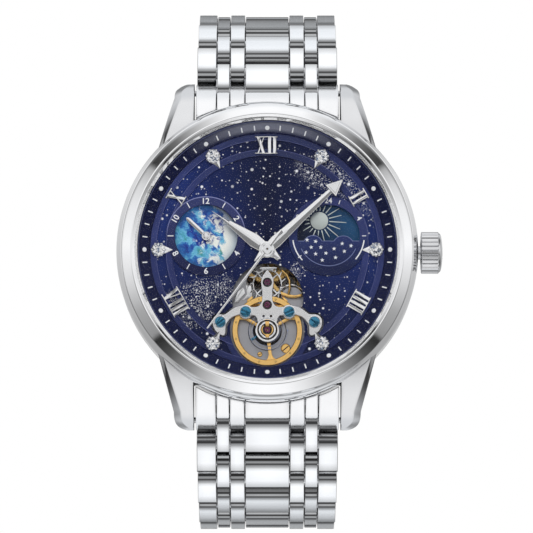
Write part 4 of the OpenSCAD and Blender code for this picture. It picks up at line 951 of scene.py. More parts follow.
# Painted reflection: a grey sheen over the top of the slope, and a painted highlight along its upper edge
painted_top_sheen = fade(calc("PINGPONG", turn, 0.5), 0.03, 0.11, 1.0, 0.0) * within(radius, 16.3, 17.4, 0.25)
tone = mix(painted_top_sheen, RING_BLUE, (0.19, 0.20, 0.26))
tone = mix(within(radius, 17.42, 17.52) * 0.7, tone, (0.12, 0.14, 0.28))
feed(ring_paint, Base_Color=tone, Roughness=gloss(noise(flat, 1.2), 0.24, 0.32))
paint(ring_paint, "chapter_ring")

DIAL_TOP, RING_TOP = front("dial") - 0.2, front("dial")
RISE, RUN = 0.83, 1.65
SLOPE = math.atan2(RISE, RUN)


def on_slope(r):
    """Height of the sloped ring at a radius."""
    return DIAL_TOP + 0.12 + (r - 15.95) / RUN * RISE


stroke = sheet([oblong(0.085, 0.36)], 0.0, 0.05, 0.012)
ring_of("minute_strokes", stroke, print_white, "dial_navy", 60, 16.68, on_slope(16.68), Tilt=SLOPE, Every=5,
        Keep_multiples=False)
dot = sheet([circle(0.31, count=28)], 0.0, 0.09, 0.035)
ring_of("hour_dots", dot, print_white, "dial_navy", 12, 16.66, on_slope(16.66), Tilt=SLOPE)
print("marks stand at", round(on_slope(16.68), 2), "mm")

# %% [markdown]
# ## Numerals and stones
# The numerals are polished metal, so their edges must be rounded to glint. Each stone is a cut gem: a flat
# table, a ring of facets and a girdle, held by beads, with a folded metal tail towards the dial's centre.

# %% Dress the numerals and cut the stones
dressed("hour_numerals", 0.025, polished, segments=1)


def brilliant(r, place):
    """Faceted stone, girdle down and table up."""
    work = bmesh.new()
    levels = [(r * 0.55, -0.12, 0), (r, 0.0, 0), (r, 0.05, 0), (r * 0.82, 0.132, 22.5), (r * 0.5, 0.24, 0)]
    rings = [[work.verts.new((x, y, z)) for x, y in arc(q, first, first + 315, 7)] for q, z, first in levels]
    for low, high, (_, _, first0), (_, _, first1) in zip(rings, rings[1:], levels, levels[1:]):
        for i in range(8):
            a, b, c, d = low[i], low[(i + 1) % 8], high[(i + 1) % 8], high[i]
            if first1 > first0:
                corners = ((a, b, d), (b, c, d))
            elif first1 < first0:
                corners = ((a, b, c), (a, c, d))
            else:
                corners = ((a, b, c, d),)
            for face in corners:
                work.faces.new(face)
    work.faces.new(rings[-1])
    work.faces.new(rings[0][::-1])
    return mesh_of(work, place)


def folded(left, right, spine, place, base=0.0):
    """Mesh of a blade: left and right edges through points of (x, y), a spine through (x, y, height)."""
    work = bmesh.new()
    a, b, c, floor_a, floor_b = [[work.verts.new((*point, base)[:3]) for point in line]
                                 for line in (left, right, spine, left, right)]
    for i in range(len(c) - 1):
        for low, top in ((a, c), (b, c), (floor_a, floor_b)):
            work.faces.new((low[i], low[i + 1], top[i + 1], top[i]))
    for i in (0, -1):
        work.faces.new((a[i], b[i], c[i]))
    bmesh.ops.remove_doubles(work, verts=work.verts, dist=1e-6)
    bmesh.ops.recalc_face_normals(work, faces=work.faces)
    return mesh_of(work, place, tidy=False)


GEM_R = 14.75
BEAD = [(0.0, 0.06), (0.12, 0.1), (0.13, 0.24), (0.08, 0.33), (0.0, 0.36)]
CUP = [(0.0, 0.02), (0.9, 0.02), (0.96, 0.08), (0.92, 0.14), (0.7, 0.16), (0.0, 0.12)]
TAIL = [(0.55, -0.62), (0.5, -0.85), (0.0, -1.95)]
RIDGE = [(0.0, -0.62, 0.32), (0.0, -0.85, 0.30), (0.0, -1.95, 0.06)]
gems, holders = [], []
for hour in (1, 3, 5, 7, 9, 11):
    here = spot(0, 0, RING_TOP, -30.0 * hour) @ Matrix.Translation((0, GEM_R, 0))
    for petal in range(6):
        a = math.radians(60 * petal)
        petal_place = Matrix.Translation((0.66 * math.cos(a), 0.66 * math.sin(a), 0.16))
        gems.append(brilliant(0.35, here @ petal_place))
        beside = Matrix.Translation((0.93 * math.cos(a + 0.52), 0.93 * math.sin(a + 0.52), 0.06))
        holders.append(turned(BEAD, here @ beside, 10))
    gems.append(brilliant(0.38, here @ Matrix.Translation((0, 0, 0.16))))
    holders += [turned(CUP, here, 24), folded([(-x, y) for x, y in TAIL], TAIL, RIDGE, here)]
piece("cut_stones", gems, stone, replaces=("hour_gems",), smooth=1.0)
piece("stone_settings", holders, polished, replaces=("gem_settings",), smooth=25.0)
print("stones:", len(gems))

# %% [markdown]
# ## The two small dials
# The left one shows a planet under a second-zone hand, the right one a sun above a starry horizon. Their
# rings are violet-blue with printed figures. The figures are 3D text, which stays sharp at any size.

# %% Build the small rings' paint and figures
LEFT, RIGHT = (-8.3, 1.9), (8.3, 1.9)
PALE_BLUE = (0.12, 0.13, 0.35)


def flecked(made, centre, ground, band, band_tone, flecks):
    """Paints a small ring: toned band, painted highlight atop the outer line, pale flecks over the ground."""
    radius, _, _, north, flat = around(made, centre)
    rim_highlight = within(radius, 5.28, 5.42) * fade(north, -1.0, 2.5)
    tone = mix(band, mix(rim_highlight * 0.75, ground, (0.30, 0.33, 0.62)), band_tone)
    fleck = noise(flat, 6.0, 3.0, 0.6)
    feed(made, Base_Color=mix(fade(fleck, *flecks), tone, PALE_BLUE), Roughness=gloss(fleck, 0.25, 0.33))


def on_ring(centre, r, hour, inward=False):
    """Place of a figure on a small ring, with its foot or its head towards the centre."""
    a = math.radians(30 * hour)
    turn = -30.0 * hour + (180.0 if inward else 0.0)
    return spot(centre[0] + r * math.sin(a), centre[1] + r * math.cos(a), RING_TOP, turn)


def arc_band(r, w, a0, a1, z):
    """Flat printed arc on the right small dial."""
    outline = arc(r + w / 2, a0, a1, 40) + arc(r - w / 2, a1, a0, 40)
    return sheet([outline], 0.0, PRINTED, 0.01, spot(*RIGHT, z))


left_ring = finish("left_ring", (0.04, 0.04, 0.18), 0.0, 0.3, Specular_IOR_Level=0.14)
radius, _, _, north, _ = around(left_ring, LEFT)
ground = mix(fade(north, -4.5, 3.5), (0.014, 0.018, 0.065), (0.038, 0.048, 0.15))
flecked(left_ring, LEFT, ground, within(radius, 4.2, 4.3), (0.010, 0.010, 0.05), (0.62, 0.75, 0.0, 0.35))
paint(left_ring, "dual_time_ring")
figures = [figure(str(hour), 1.12, on_ring(LEFT, 4.78, hour, hour in (4, 6, 8)), 0.02)
           for hour in (12, 2, 4, 6, 8, 10)]
for text, hour in (("24", 12), ("4", 2), ("20", 10)):
    figures.append(figure(text, 1.02, on_ring(RIGHT, 4.82, hour), 0.015))
piece("small_figures", figures, print_white, smooth=20.0)
tick, short_tick = [sheet([oblong(w, h)], 0.0, PRINTED, 0.008) for w, h in ((0.065, 0.4), (0.055, 0.27))]
ring_of("left_ticks", tick, print_white, "dial_violet", 12, 4.82, RING_TOP, LEFT, Every=2,
        Keep_multiples=False)
ring_of("right_ticks", short_tick, print_white, "dial_violet", 5, 4.82, RING_TOP, RIGHT,
        First_turn=math.radians(-270.0), Every=2)
arcs = [arc_band(4.85, 0.17, 187, 223, RING_TOP), arc_band(4.85, 0.17, -41, -7, RING_TOP)]
piece("right_arcs", arcs, print_white)

# %% [markdown]
# The planet is no real one: noise at two scales makes its seas and lands, a third makes its clouds, and a
# cyan haze gathers at the rim. Noise mixed by height and distance is enough, because the disc is 8 mm
# across.

# %% Paint the planet disc
planet = finish("planet_print", (0.1, 0.4, 0.7), 0.0, 0.3, Specular_IOR_Level=0.25)
radius, _, east, north, flat = around(planet, LEFT)
swirl = vector("ADD", flat, vector("MULTIPLY", noise(flat, 0.5, 3.0, 0.6, "Color"), (2.2, 2.2, 0.0)))
SEAS = [(0.36, (0.010, 0.018, 0.16)), (0.45, (0.018, 0.055, 0.34)), (0.51, (0.04, 0.20, 0.55)),
        (0.56, (0.20, 0.58, 0.80)), (0.60, (0.10, 0.42, 0.62)), (0.68, (0.04, 0.26, 0.12)),
        (0.74, (0.10, 0.38, 0.12))]
clouds = noise(vector("ADD", swirl, (7.0, 3.0, 0.0)), 0.75, 6.0, 0.7)
tone = ramp(noise(swirl, 0.42, 5.0, 0.62), SEAS)
tone = mix(fade(clouds + east * 0.045, 0.52, 0.60), tone, (0.93, 0.95, 0.90))
tone = mix(fade(radius, 2.9, 4.3) * 0.35, tone, (0.06, 0.34, 0.62))
tone = mix(fade(east + north, 2.4, 5.4, 0.0, 0.55), tone, (0.01, 0.03, 0.16))
feed(planet, Base_Color=tone, Roughness=gloss(clouds, 0.25, 0.4))
paint(planet, "globe_disc")
print("planet print has", len(planet.node_tree.nodes), "nodes")

# %% [markdown]
# The sky disc turns once a day behind the horizon plate. Its sun and rays are thin metal plates, so they
# catch light. The horizon is two hills of cloud over a night field with small five-point stars.

# %% Build the sky disc and its sun
sky_print = finish("sky_print", (0.02, 0.10, 0.2), 0.0, 0.3, Specular_IOR_Level=0.2)
_, _, east, _, flat = around(sky_print, RIGHT)
wisps = noise(flat, 0.8, 4.0, 0.6)
tone = mix(fade(east + wisps * 2.0, -1.0, 4.5), (0.008, 0.016, 0.045), (0.018, 0.085, 0.20))
feed(sky_print, Base_Color=tone, Roughness=gloss(wisps, 0.26, 0.36))
paint(sky_print, "day_night_disc")
SKY_TOP, DISC_R = front("day_night_disc"), 4.0
SUN_X, SUN_Y = -1.24, 2.16
sun_at = (RIGHT[0] + SUN_X, RIGHT[1] + SUN_Y, SKY_TOP)
sun_metal = grained("sun_metal", (0.62, 0.68, 0.66), (3000.0, 3000.0, 900.0), 0.28, 0.4, 0.02, metallic=0.6)
sun = [turned([(0.0, 0.06), (1.12, 0.06), (1.2, 0.03), (1.21, 0.0), (0.0, 0.0)], spot(*sun_at))]
for i in range(20):
    turn = -4.0 + 18.0 * i
    a = math.radians(turn)
    reach = 2.0 + 1.1 * max(0.0, math.cos(a)) + (0.55 if i % 2 == 0 else 0.0)
    reach *= min(1.0, DISC_R / math.hypot(SUN_X + reach * math.cos(a), SUN_Y + reach * math.sin(a)))
    ray = [(1.36, -0.07), (reach, -0.045), (reach + 0.06, 0.0), (reach, 0.045), (1.36, 0.07)]
    sun.append(sheet([ray], 0.0, 0.05, 0.014, spot(*sun_at, turn)))
piece("sun_and_rays", sun, sun_metal, "day_night_disc", smooth=25.0)

# %% Build the horizon
horizon = finish("horizon_print", (0.01, 0.012, 0.05), 0.0, 0.3, Specular_IOR_Level=0.15)
radius, _, _, north, _ = around(horizon, RIGHT)
ground = mix(fade(north, -4.5, 0.0), (0.013, 0.019, 0.066), (0.028, 0.042, 0.145))
band = fade(radius, 4.2, 4.3) * fade(north, -2.0, 3.5)
flecked(horizon, RIGHT, ground, band, (0.036, 0.046, 0.15), (0.64, 0.76, 0.0, 0.3))
paint(horizon, "day_night_ring")

# The clouds' outline and the lower ring are thin pale lines
pale_line = finish("pale_line", (0.17, 0.21, 0.42), 0.0, 0.4)
feed(pale_line, Base_Color=mix(around(pale_line, RIGHT)[1], (0.15, 0.19, 0.40), (0.20, 0.24, 0.46)))
HORIZON_TOP = DIAL_TOP + 0.12
on_horizon = spot(*RIGHT, HORIZON_TOP)
hills = arc(1.35, 153.6, 26.4, 20, -2.1, -1.3) + arc(1.5, 147.8, 32.2, 20, 2.0, -1.5)
pale = [wire([(-4.1, -0.7)] + hills + [(4.1, -0.7)], 0.045, on_horizon, sides=2),
        arc_band(4.08, 0.09, 205, 335, HORIZON_TOP)]
piece("cloud_lines", pale, pale_line)


def star_outline(cx, cy, turn):
    """Five-point star."""
    corners = [(0.3 if i % 2 == 0 else 0.126, math.radians(turn + 36 * i)) for i in range(10)]
    return [(cx + q * math.cos(a), cy + q * math.sin(a)) for q, a in corners]


STARS = [(-2.9, -0.55, 90), (-1.75, -0.75, 78), (-2.35, -1.55, 96), (-1.05, -1.55, 88), (-3.05, -2.25, 84),
         (-1.75, -2.45, 92), (-0.35, -2.35, 80), (0.75, -1.75, 94), (0.95, -2.95, 86), (1.85, -1.05, 90),
         (2.15, -2.1, 98), (3.05, -1.35, 82), (-0.85, -3.3, 90)]
small_stars = [sheet([star_outline(*star)], 0.0, 0.05, 0.012, on_horizon) for star in STARS]
piece("horizon_stars", small_stars, print_white)
print("horizon stars:", len(STARS))

# %% [markdown]
# ## The hands
# Real hands are stamped and then milled to a ridge, so one half mirrors the bright side of the room and the
# other half the dark side. A folded blade shows that. The parts behind the dial stay as the solids have them.

# %% Words for the hands
HOUR_Z, MINUTE_Z, SECOND_Z, DUAL_Z = 9.68, 10.08, 10.4, DIAL_TOP - 0.1
TOOTH_R = 1.6


def rear_part(node, height, ease=1.0):
    """Mesh of a CAD node behind a height of the dial's frame. Its teeth can be eased inwards."""
    work = bmesh.new()
    work.from_mesh(nodes[node].data)
    bmesh.ops.remove_doubles(work, verts=work.verts, dist=1e-6)
    bmesh.ops.bisect_plane(work, geom=work.verts[:] + work.edges[:] + work.faces[:],
                           plane_co=(0, -height * MM, 0), plane_no=(0, -1, 0), clear_outer=True)
    for vertex in work.verts:
        if math.hypot(vertex.co.x, vertex.co.z) > TOOTH_R * MM:
            vertex.co.x, vertex.co.z = vertex.co.x * ease, vertex.co.z * ease
    return mesh_of(work, tidy=False)


def blade(half, ridge, base, place):
    """Folded hand: half lists (y, half width) from the tail to the tip, ridge is its height over the edge."""
    left, right = [(-w, y) for y, w in half], [(w, y) for y, w in half]
    widest = max(w for _, w in half)
    spine = [(0.0, y, base + ridge * (0.35 + 0.65 * w / widest)) for y, w in half]
    return joined([folded(left, right, spine, place, base),
                   sheet([left + right[::-1]], 0.0, base + 0.01, 0.01, place)])


def hand(name, node, z, turn, half, ridge, base, plates, hubs, behind=(), centre=(0.0, 0.0)):
    """Builds a hand: a folded blade, plates of (outline, z0, z1, bevel) and hubs of (profile, count)."""
    place = spot(*centre, z, turn)
    parts = [blade(half, ridge, base, place)]
    parts += [sheet([outline], z0, z1, bevel, place) for outline, z0, z1, bevel in plates]
    parts += [turned(profile, spot(*centre, z), count) for profile, count in hubs]
    piece(name, parts + list(behind), polished, node, replaces=(node,), smooth=14.0)


# %% Build the hour and minute hands
hand("hour_hand_faceted", "hour_hand", HOUR_Z, 55.0,
     [(-2.2, 0.04), (-1.0, 0.56), (0.0, 0.66), (1.1, 0.80), (2.2, 0.92), (6.4, 0.34), (6.45, 0.13),
      (9.2, 0.03)],
     0.13, 0.06, [([(-0.2, 1.2), (0.2, 1.2), (0.13, 6.3), (-0.13, 6.3)], 0.08, 0.27, 0.03)],
     [([(0.55, 0.0), (1.1, 0.0), (1.12, 0.05), (1.1, 0.19), (1.02, 0.22), (0.56, 0.22), (0.55, 0.0)], 96)],
     [rear_part("hour_hand", HOUR_Z, 0.92)])
arrow = [([(-1.08, 11.7), (1.08, 11.7), (0.0, 14.05)], 0.0, 0.17, 0.05),
         ([(-0.72, 11.94), (0.72, 11.94), (0.0, 13.5)], 0.1, 0.26, 0.04)]
inlay = ([(-0.3, 0.9), (0.12, 0.9), (0.12, 3.5), (0.0, 3.9), (-0.2, 3.7)], 0.1, 0.25, 0.03)
hand("minute_hand_faceted", "minute_hand", MINUTE_Z, -47.2,
     [(-2.4, 0.04), (-1.0, 0.52), (0.6, 0.72), (1.6, 0.82), (6.0, 0.56), (11.69, 0.34)], 0.12, 0.06,
     arrow + [inlay],
     [([(0.46, 0.0), (0.95, 0.0), (0.97, 0.04), (0.95, 0.2), (0.88, 0.24), (0.47, 0.24), (0.46, 0.0)], 96)])

# %% Build the second hand and the second-zone hand
cap = [(0.0, 0.1), (0.13, 0.1), (0.14, 0.24), (0.17, 0.26), (0.6, 0.26), (0.68, 0.2), (0.69, 0.0), (0.0, 0.0)]
hand("second_hand_faceted", "second_hand", SECOND_Z, 143.0,
     [(-3.2, 0.20), (-1.0, 0.17), (2.0, 0.13), (13.5, 0.06)],
     0.06, 0.05, [], [(cap, 64)], [rear_part("second_hand", SECOND_Z)])
hand("dual_hand_faceted", "dual_time_hand", DUAL_Z, 46.7,
     [(-0.95, 0.14), (-0.9, 0.22), (0.0, 0.28), (3.2, 0.27), (3.5, 0.2), (3.66, 0.04)], 0.09, 0.08, [],
     [([(0.0, 0.12), (0.24, 0.12), (0.25, 0.3), (0.2, 0.33), (0.0, 0.34)], 32),
      ([(0.24, 0.1), (0.36, 0.12), (0.46, 0.22), (0.57, 0.22), (0.62, 0.16), (0.62, 0.0), (0.24, 0.0)], 48)],
     [rear_part("dual_time_hand", DUAL_Z)], LEFT)
print("hands:", 4)

# %% [markdown]
# ## The open heart
# Through the opening one sees the balance under its bridge. The bridge has a satin face and polished edges,
# its screws are heat-blued, the wheels are gilt, and rubies mark the pivots.

# %% Dress the bridge and its screws
BRIDGE_TOP, PLATE_TOP = front("bridge_screws") - 0.2, front("main_plate")
JEWEL_Y = (-4.41, -7.47)
half = [(0.6, -3.45), (0.82, -4), (0.86, -4.5), (0.7, -5.5), (0.7, -6.8), (0.85, -7.3), (1.15, -7.62),
        (1.6, -7.76)]
half += arc(0.97, 135, 70, 6, 2.94, -8.42) + [(4.3, -7.78), (4.8, -8.05), (5.2, -8.38), (5.65, -8.72)]
half += arc(1.07, 100, -10, 10, 6.38, -9.8)
half += [(7.36, -10.5), (7.05, -11.05), (6.55, -11.5), (6.1, -11.68), (5.8, -11.66), (5.66, -11.4),
         (5.6, -10.4), (5.42, -9.95), (5.1, -9.5), (4.7, -9.15), (4.2, -8.95)]
half += arc(0.97, -25, -150, 10, 2.94, -8.42) + [(1.7, -8.98), (1.46, -9.3), (1.36, -9.7)]
hub_arc = arc(1.62, 36.6, -216.6, 60, *BALANCE)
outline = [(0.0, -2.64)] + half + hub_arc + [(-px, py) for px, py in reversed(half)]
holes = [circle(0.43, 0.0, y) for y in (*JEWEL_Y, BALANCE[1])]
holes += [circle(0.25, x, -9.02, 32) for x in (0.5, -0.5)]
bridge = sheet([outline] + holes, BRIDGE_TOP - 0.65, BRIDGE_TOP, 0.09)
two_tone(bridge, polished, bridge_steel, lambda face: face.normal.y < -0.97)
piece("bridge_plate", bridge, None, replaces=("balance_bridge",), smooth=12.0)
foot = [(0.0, PLATE_TOP), (0.9, PLATE_TOP), (0.9, BRIDGE_TOP - 0.6), (0.0, BRIDGE_TOP - 0.6)]
feet = [turned(foot, spot(x, -9.8), 48) for x in (6.38, -6.38)]
piece("bridge_feet", feet, bridge_steel)
dressed("bridge_screws", 0.06, blued)

# %% Set the screws' seats, the hub and the jewels
SEAT = [(0.72, 0.0), (0.73, 0.03), (0.8, 0.05), (0.87, 0.03), (0.88, 0.0)]
SCREWS = [(2.94, -8.42), (-2.94, -8.42), (6.38, -9.8), (-6.38, -9.8)]
seats = [turned(SEAT, spot(x, y, BRIDGE_TOP - 0.01), 48) for x, y in SCREWS]
hub = spot(*BALANCE, BRIDGE_TOP)
seats += [turned([(1.32, 0.0), (1.34, 0.1), (1.4, 0.15), (1.52, 0.15), (1.6, 0.08), (1.62, -0.05)], hub, 96),
          turned([(0.86, 0.0), (0.88, 0.16), (0.92, 0.19), (1.08, 0.19), (1.14, 0.14), (1.15, 0.0)], hub, 96)]
piece("bridge_seats", seats, polished, smooth=25.0)

# Painted shade: near-black rings fill the gaps between the hub's rings and ring the jewels
gap_shadows = [turned([(1.12, 0.0), (1.14, 0.13), (1.3, 0.13), (1.32, 0.0)], hub, 96),
        turned([(0.44, 0.0), (0.46, 0.18), (0.9, 0.18), (0.92, 0.0)], hub, 96)]
for y in JEWEL_Y:
    rim = [(0.44, -0.02), (0.45, 0.03), (0.5, 0.05), (0.58, 0.05), (0.64, 0.0)]
    gap_shadows.append(turned(rim, spot(0, y, BRIDGE_TOP), 48))
piece("hub_gaps", gap_shadows, shade_black)
eye = [(0.17, 0.0), (0.19, 0.05), (0.28, 0.05), (0.3, 0.0)]
eyes = [turned(eye, spot(x, -9.02, BRIDGE_TOP - 0.01), 32) for x in (0.5, -0.5)]
piece("hole_rims", eyes, polished)

# The lyre spring holds the jewel down
lyre = [wire([(x, y, 0.2) for x, y in arc(0.72, -230, 50, 28)], 0.085, hub),
        sheet([[(-0.28, 1.12), (0.28, 1.12), (0.22, 0.42), (-0.22, 0.42)]], 0.12, 0.3, 0.04, hub),
        sheet([[(-0.16, -1.1), (0.16, -1.1), (0.3, -0.95), (0.12, -0.6), (-0.12, -0.6), (-0.3, -0.95)]],
              0.12, 0.28, 0.04, hub)]
piece("lyre_spring", lyre, gilt_light)
domes = []
for y, z in ((BALANCE[1], 0.1), (-7.47, 0.0), (-4.41, 0.0)):
    dome = [(0.11, z - 0.02), (0.12, z + 0.03), (0.18, z + 0.08), (0.3, z + 0.09), (0.4, z + 0.04),
            (0.42, z - 0.02), (0.42, -0.1)]
    domes.append(turned(dome, spot(0, y, BRIDGE_TOP), 40))
piece("jewel_domes", domes, ruby)
paint(ruby, "jewels")
print("bridge top at", round(BRIDGE_TOP, 2), "mm")

# %% Dress the balance, the fork and the wheels
RIM_Z = 7.9
ARM = [(0.0, -0.25), (3.3, -0.22), (3.75, -0.4), (4.05, -0.8), (4.05, 0.8), (3.75, 0.4), (3.3, 0.22),
       (0.0, 0.25)]
rim = [(4.0, 0.03), (4.03, 0.0), (4.72, 0.0), (4.75, 0.03), (4.75, 0.37), (4.69, 0.45), (4.06, 0.45),
       (4.0, 0.37), (4.0, 0.03)]
shaft = [(0.0, -1.4), (0.12, -1.4), (0.14, -0.9), (0.3, -0.88), (0.3, -0.42), (0.75, -0.4), (0.75, -0.2),
         (0.62, -0.18), (0.62, 0.35), (0.55, 0.4), (0.3, 0.4), (0.3, 0.7), (0.12, 0.72), (0.12, 1.1),
         (0.0, 1.12)]
wheel = [turned(rim, spot(*BALANCE, RIM_Z), 192), turned(shaft, spot(*BALANCE, RIM_Z), 32)]
wheel += [sheet([ARM], 0.05, 0.35, 0.05, spot(*BALANCE, RIM_Z, turn)) for turn in (-83, 30, 150)]
piece("balance_turned", wheel, gilt_light, "balance_wheel", ("balance_wheel",), 32.0)
dressed("pallet_fork", 0.03, gilt_light, segments=1, body="pallet_fork")
dressed("escape_wheel", 0.02, satin, segments=1, body="escape_wheel")
paint(spring_steel, "hairspring", "mainspring")
paint(gilt, "center_wheel", "third_wheel", "fourth_wheel", "minute_wheel", "barrel")
screw = turned([(0.0, 0.12), (0.1, 0.12), (0.14, 0.08), (0.14, -0.1), (0.0, -0.1)], UPRIGHT, 16)
ring_of("balance_screws", screw, gilt, "gilt_brass", 12, 4.37, 8.34, BALANCE, "balance_wheel",
        First_turn=math.radians(15.0))

# %% [markdown]
# Under the bridge lies the keyless and motion work: small levers, a click spring and a grained plate. They
# are thin and fixed, so plain bevelled sheets and wires on the main plate are enough.

# %% Build the small fixed parts in the opening
paint(plate_steel, "main_plate")
floor_z = PLATE_TOP + 0.01
ratchet, click_screw, small_screw = spot(3.35, -6.35, floor_z), (2.5, -13.2, floor_z), (-1.0, -14.0, floor_z)
levers = [
    sheet([[(-1.15, -2.2), (1.35, -2.2), (1.3, -2.42), (1.02, -2.5), (0.85, -2.55), (0.72, -2.98),
            (0.5, -2.6), (-0.45, -2.6), (-0.62, -2.98), (-0.78, -2.55), (-1.0, -2.55)]], 8.0, 8.25, 0.05),
    sheet([[(-2.92, -4.6), (-2.2, -4.6), (-2.12, -5.24), (-2.0, -6.3), (-2.74, -6.5), (-3.46, -6.7),
            (-2.74, -5.78), (-2.92, -5.42)]], floor_z, 7.1, 0.04),
    sheet([[(-4.1, -5.51), (-3.28, -4.87), (-3.1, -5.24), (-2.98, -5.7), (-3.55, -6.33), (-3.92, -6.96),
            (-4.64, -7.05), (-4.55, -6.6)]], floor_z, 7.35, 0.05),
    turned([(1.72, 0.0), (1.74, 0.1), (1.8, 0.14), (1.92, 0.12), (1.96, 0.0)], ratchet, 64)]
piece("small_levers", levers, satin)
click = [
    wire([(1.98, -2.6, 7.9), (2.66, -3.24, 7.9), (3.03, -4.05, 7.9), (3.07, -5.05, 7.9),
          (2.85, -5.95, 7.8)], 0.16, UPRIGHT),
    sheet([[(1.8, -5.5), (2.9, -5.9), (3.8, -6.02), (4.75, -5.8), (4.9, -5.98), (4.6, -6.22), (3.8, -6.42),
            (2.9, -6.34), (1.9, -6.0)]], 7.6, 7.84, 0.06),
    turned([(0.0, 0.2), (0.55, 0.2), (0.65, 0.12), (0.65, 0.0)], spot(*click_screw), 32),
    turned([(0.0, 0.15), (0.28, 0.15), (0.35, 0.08), (0.35, 0.0)], spot(*small_screw), 32)]
piece("gilt_levers", click, gilt_light)
strip = sheet([[(-2.3, -11.95), (-1.3, -11.3), (-1.1, -11.6), (-2.15, -12.2)]], floor_z, 7.1, 0.02)
piece("blued_strip", strip, blued)
# Painted shade: near-black screw slots, a groove ring and a disc of shadow under the balance hub
slot_shadows = [sheet([oblong(0.52, 0.07)], 0.18, 0.23, 0.01, spot(*click_screw, 40)),
         sheet([oblong(0.26, 0.05)], 0.13, 0.17, 0.01, spot(*small_screw, 20)),
         turned([(2.52, 0.0), (2.54, 0.03), (2.6, 0.03), (2.62, 0.0)], spot(*BALANCE, floor_z), 96),
         turned([(0.0, 0.02), (1.95, 0.02), (1.97, 0.0)], spot(*BALANCE, floor_z), 96)]
piece("plate_grooves", slot_shadows, shade_black)
disc = turned([(0.0, 0.02), (1.5, 0.02), (1.52, 0.0)], ratchet, 64)
piece("ratchet_plate", disc, plate_steel)

# %% [markdown]
# ## The back
# A glass back shows the train bridge with its stripes and the rotor. The stripes are ground arcs of one width
# that catch the light in turn, so a wave across the plate drives their tilt and gloss.

# %% Paint the back
def striped(name, colour, pitch, angle):
    """Steel with straight ground stripes."""
    made = finish(name, colour)
    _, _, east, north, flat = around(made)
    a = math.radians(angle)
    wave = calc("FRACT", (east * math.cos(a) + north * math.sin(a) + 100.0) / pitch)
    fine = noise(vector("MULTIPLY", flat, (30.0, 3.0, 1.0)), 1.0)
    # Painted light and shade: each stripe's colour runs from dark to light across it
    tone = mix(fade(wave + fine * 0.2, 0.0, 1.2), [v * 0.72 for v in colour], [v * 1.12 for v in colour])
    feed(made, Base_Color=tone, Normal=bumped(wave, 0.25, 0.0001), Roughness=gloss(fine, 0.18, 0.32))
    return made


dressed("train_bridge", 0.08, striped("striped_steel", (0.62, 0.63, 0.66), 2.2, 20.0))
dressed("rotor", 0.1, striped("rotor_stripes", (0.66, 0.66, 0.68), 1.8, -35.0),
        body="rotor")
pockets = []
for turn in range(30, 390, 60):
    c, s = math.cos(math.radians(turn)), math.sin(math.radians(turn))
    pockets.append([(r * c - w * s, r * s + w * c) for r, w in oblong(0.5, 0.9, 15.3)])
cover = [sheet([circle(17.4, count=192), circle(12.0, count=128)] + pockets, 0.0, 0.5, 0.1),
         turned([(12.0, 0.45), (17.4, 0.45), (17.4, 1.3), (12.4, 1.3), (12.4, 0.9), (12.0, 0.9),
                 (12.0, 0.45)], UPRIGHT)]
piece("back_turned", cover, polished, replaces=("back_cover",), smooth=12.0)
paint(sapphire, "crystal", "back_window")
rotor_screw = turned([(0.0, 0.0), (0.9, 0.0), (1.0, 0.08), (1.0, 0.3), (0.0, 0.3)],
                     spot(0, 0, rear("rotor") - 0.12), 48)
piece("rotor_screw", rotor_screw, blued, "rotor")
print("back painted")

# %% [markdown]
# ## Light, floor and background
# Polished metal shows the room, so the room is designed: a white front, white above and below, darker gaps
# on the diagonals and a grey rear. Only reflections see that room. Matt surfaces see an even light, and the
# camera sees white. The floor lies low enough for the opened bracelet to hang free, and fades into that
# white.

# %% Build the room
SIDES = [(0.0, 1.15), (0.072, 1.1), (0.14, 0.60), (0.20, 0.18), (0.235, 0.08), (0.266, 0.04), (0.280, 0.50),
         (0.32, 0.78), (0.37, 0.95), (0.455, 1.08), (0.539, 0.78), (0.615, 0.42), (0.680, 0.32),
         (0.692, 0.02), (0.740, 0.09), (0.798, 0.28), (0.856, 0.6), (0.906, 0.9), (0.956, 1.1), (1.0, 1.15)]
FRONT = [(0.0, 1.05), (0.12, 1.0), (0.25, 0.60), (0.38, 0.24), (0.45, 0.26), (0.495, 0.58), (0.53, 0.88),
         (0.60, 0.94), (0.67, 1.05), (1.0, 1.05)]
REAR = [(0.0, 0.95), (0.5, 0.90), (0.66, 0.32), (0.86, 0.28), (1.0, 0.50)]
world = bpy.data.worlds.new("studio")
scene.world = world
world.use_nodes = True
tree = world.node_tree
tree.nodes.clear()
dx, dy, dz = outs(add(tree, "ShaderNodeSeparateXYZ", out(add(tree, "ShaderNodeTexCoord"), "Generated")))
ahead = dy * -1.0
round_turn = calc("ABSOLUTE", calc("ARCTAN2", dx, dz) / math.pi)
faces = grey_ramp((dz + 1.0) * 0.5, FRONT)
room = mix(fade(ahead, 0.35, 0.6), grey_ramp(round_turn, SIDES), faces)
behind = grey_ramp(fade(ahead, -0.2, -1.0), REAR, (1.0, 1.02, 1.04))
upright = fade(calc("ABSOLUTE", round_turn - 0.5), 0.22, 0.38)
flat_rear = fade(ahead, -0.3, -0.6, 0.15, 0.78) * fade(dz, -0.35, 0.35, 0.55, 1.0)
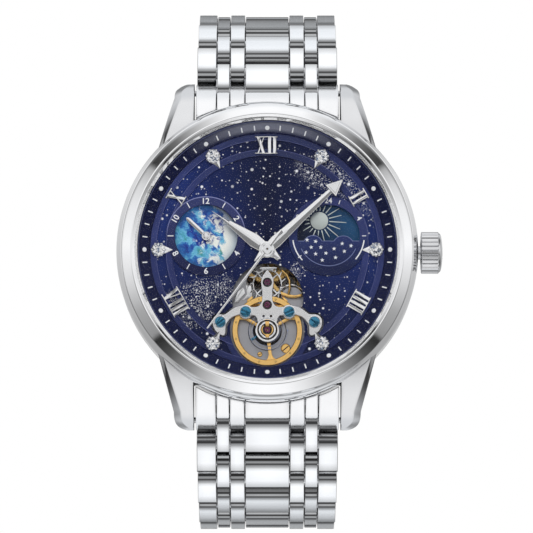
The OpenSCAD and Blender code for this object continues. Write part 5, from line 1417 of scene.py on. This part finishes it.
behind = mix(upright, out(add(tree, "ShaderNodeCombineColor", flat_rear, flat_rear, flat_rear)), behind)
room = mix(fade(ahead, -0.12, -0.3), room, behind)
rays = add(tree, "ShaderNodeLightPath")
lit = mix(out(rays, "Is Glossy Ray"), (0.5, 0.5, 0.5), room)
seen = mix(out(rays, "Is Camera Ray") | out(rays, "Is Transmission Ray"), lit, (1.0, 1.0, 1.0))
add(tree, "ShaderNodeOutputWorld", out(add(tree, "ShaderNodeBackground", seen, 1.0)))


def lamp(name, place, size, power):
    """A soft area lamp that faces the dial. The metal doesn't mirror it and the camera doesn't see it."""
    data = bpy.data.lights.new(name, "AREA")
    data.size = size
    data.energy = power
    made = linked(name, data)
    made.location = place
    made.rotation_euler = (Vector((0, -0.01, 0)) - Vector(place)).to_track_quat("-Z", "Y").to_euler()
    made.visible_glossy = False
    made.visible_camera = False


lamp("key", (-0.15, -0.45, 0.35), 0.35, 1.5)
lamp("fill", (0.35, -0.35, 0.05), 0.4, 0.6)
lamp("rear", (0.1, 0.5, 0.3), 0.4, 1.2)

# %% Lay the floor
OPEN_DROP, FLOOR_HALF = 0.11, 1.5
low = cad_box[0][2] - OPEN_DROP
floor = linked("floor", bpy.data.meshes.new("floor"))
floor.data.from_pydata([(x, y, low) for x, y in oblong(FLOOR_HALF, FLOOR_HALF)], [], [(0, 1, 2, 3)])
stage_paint = finish("stage_paint", (0.86, 0.86, 0.86), 0.0, 0.9)
tree = stage_paint.node_tree
rays = add(tree, "ShaderNodeLightPath")
reach = out(add(tree, "ShaderNodeVectorMath", object_place(tree), operation="LENGTH"), "Value")
hidden = out(add(tree, "ShaderNodeNewGeometry"), "Backfacing") | out(rays, "Is Glossy Ray")
hidden = hidden | out(rays, "Is Transmission Ray") | fade(reach, 0.16, 0.42)
clear = out(add(tree, "ShaderNodeBsdfTransparent"))
blend = add(tree, "ShaderNodeMixShader", hidden, out(tree.nodes["Principled BSDF"]), clear)
join(out(blend), tree.nodes["Material Output"].inputs["Surface"])
floor.data.materials.append(stage_paint)
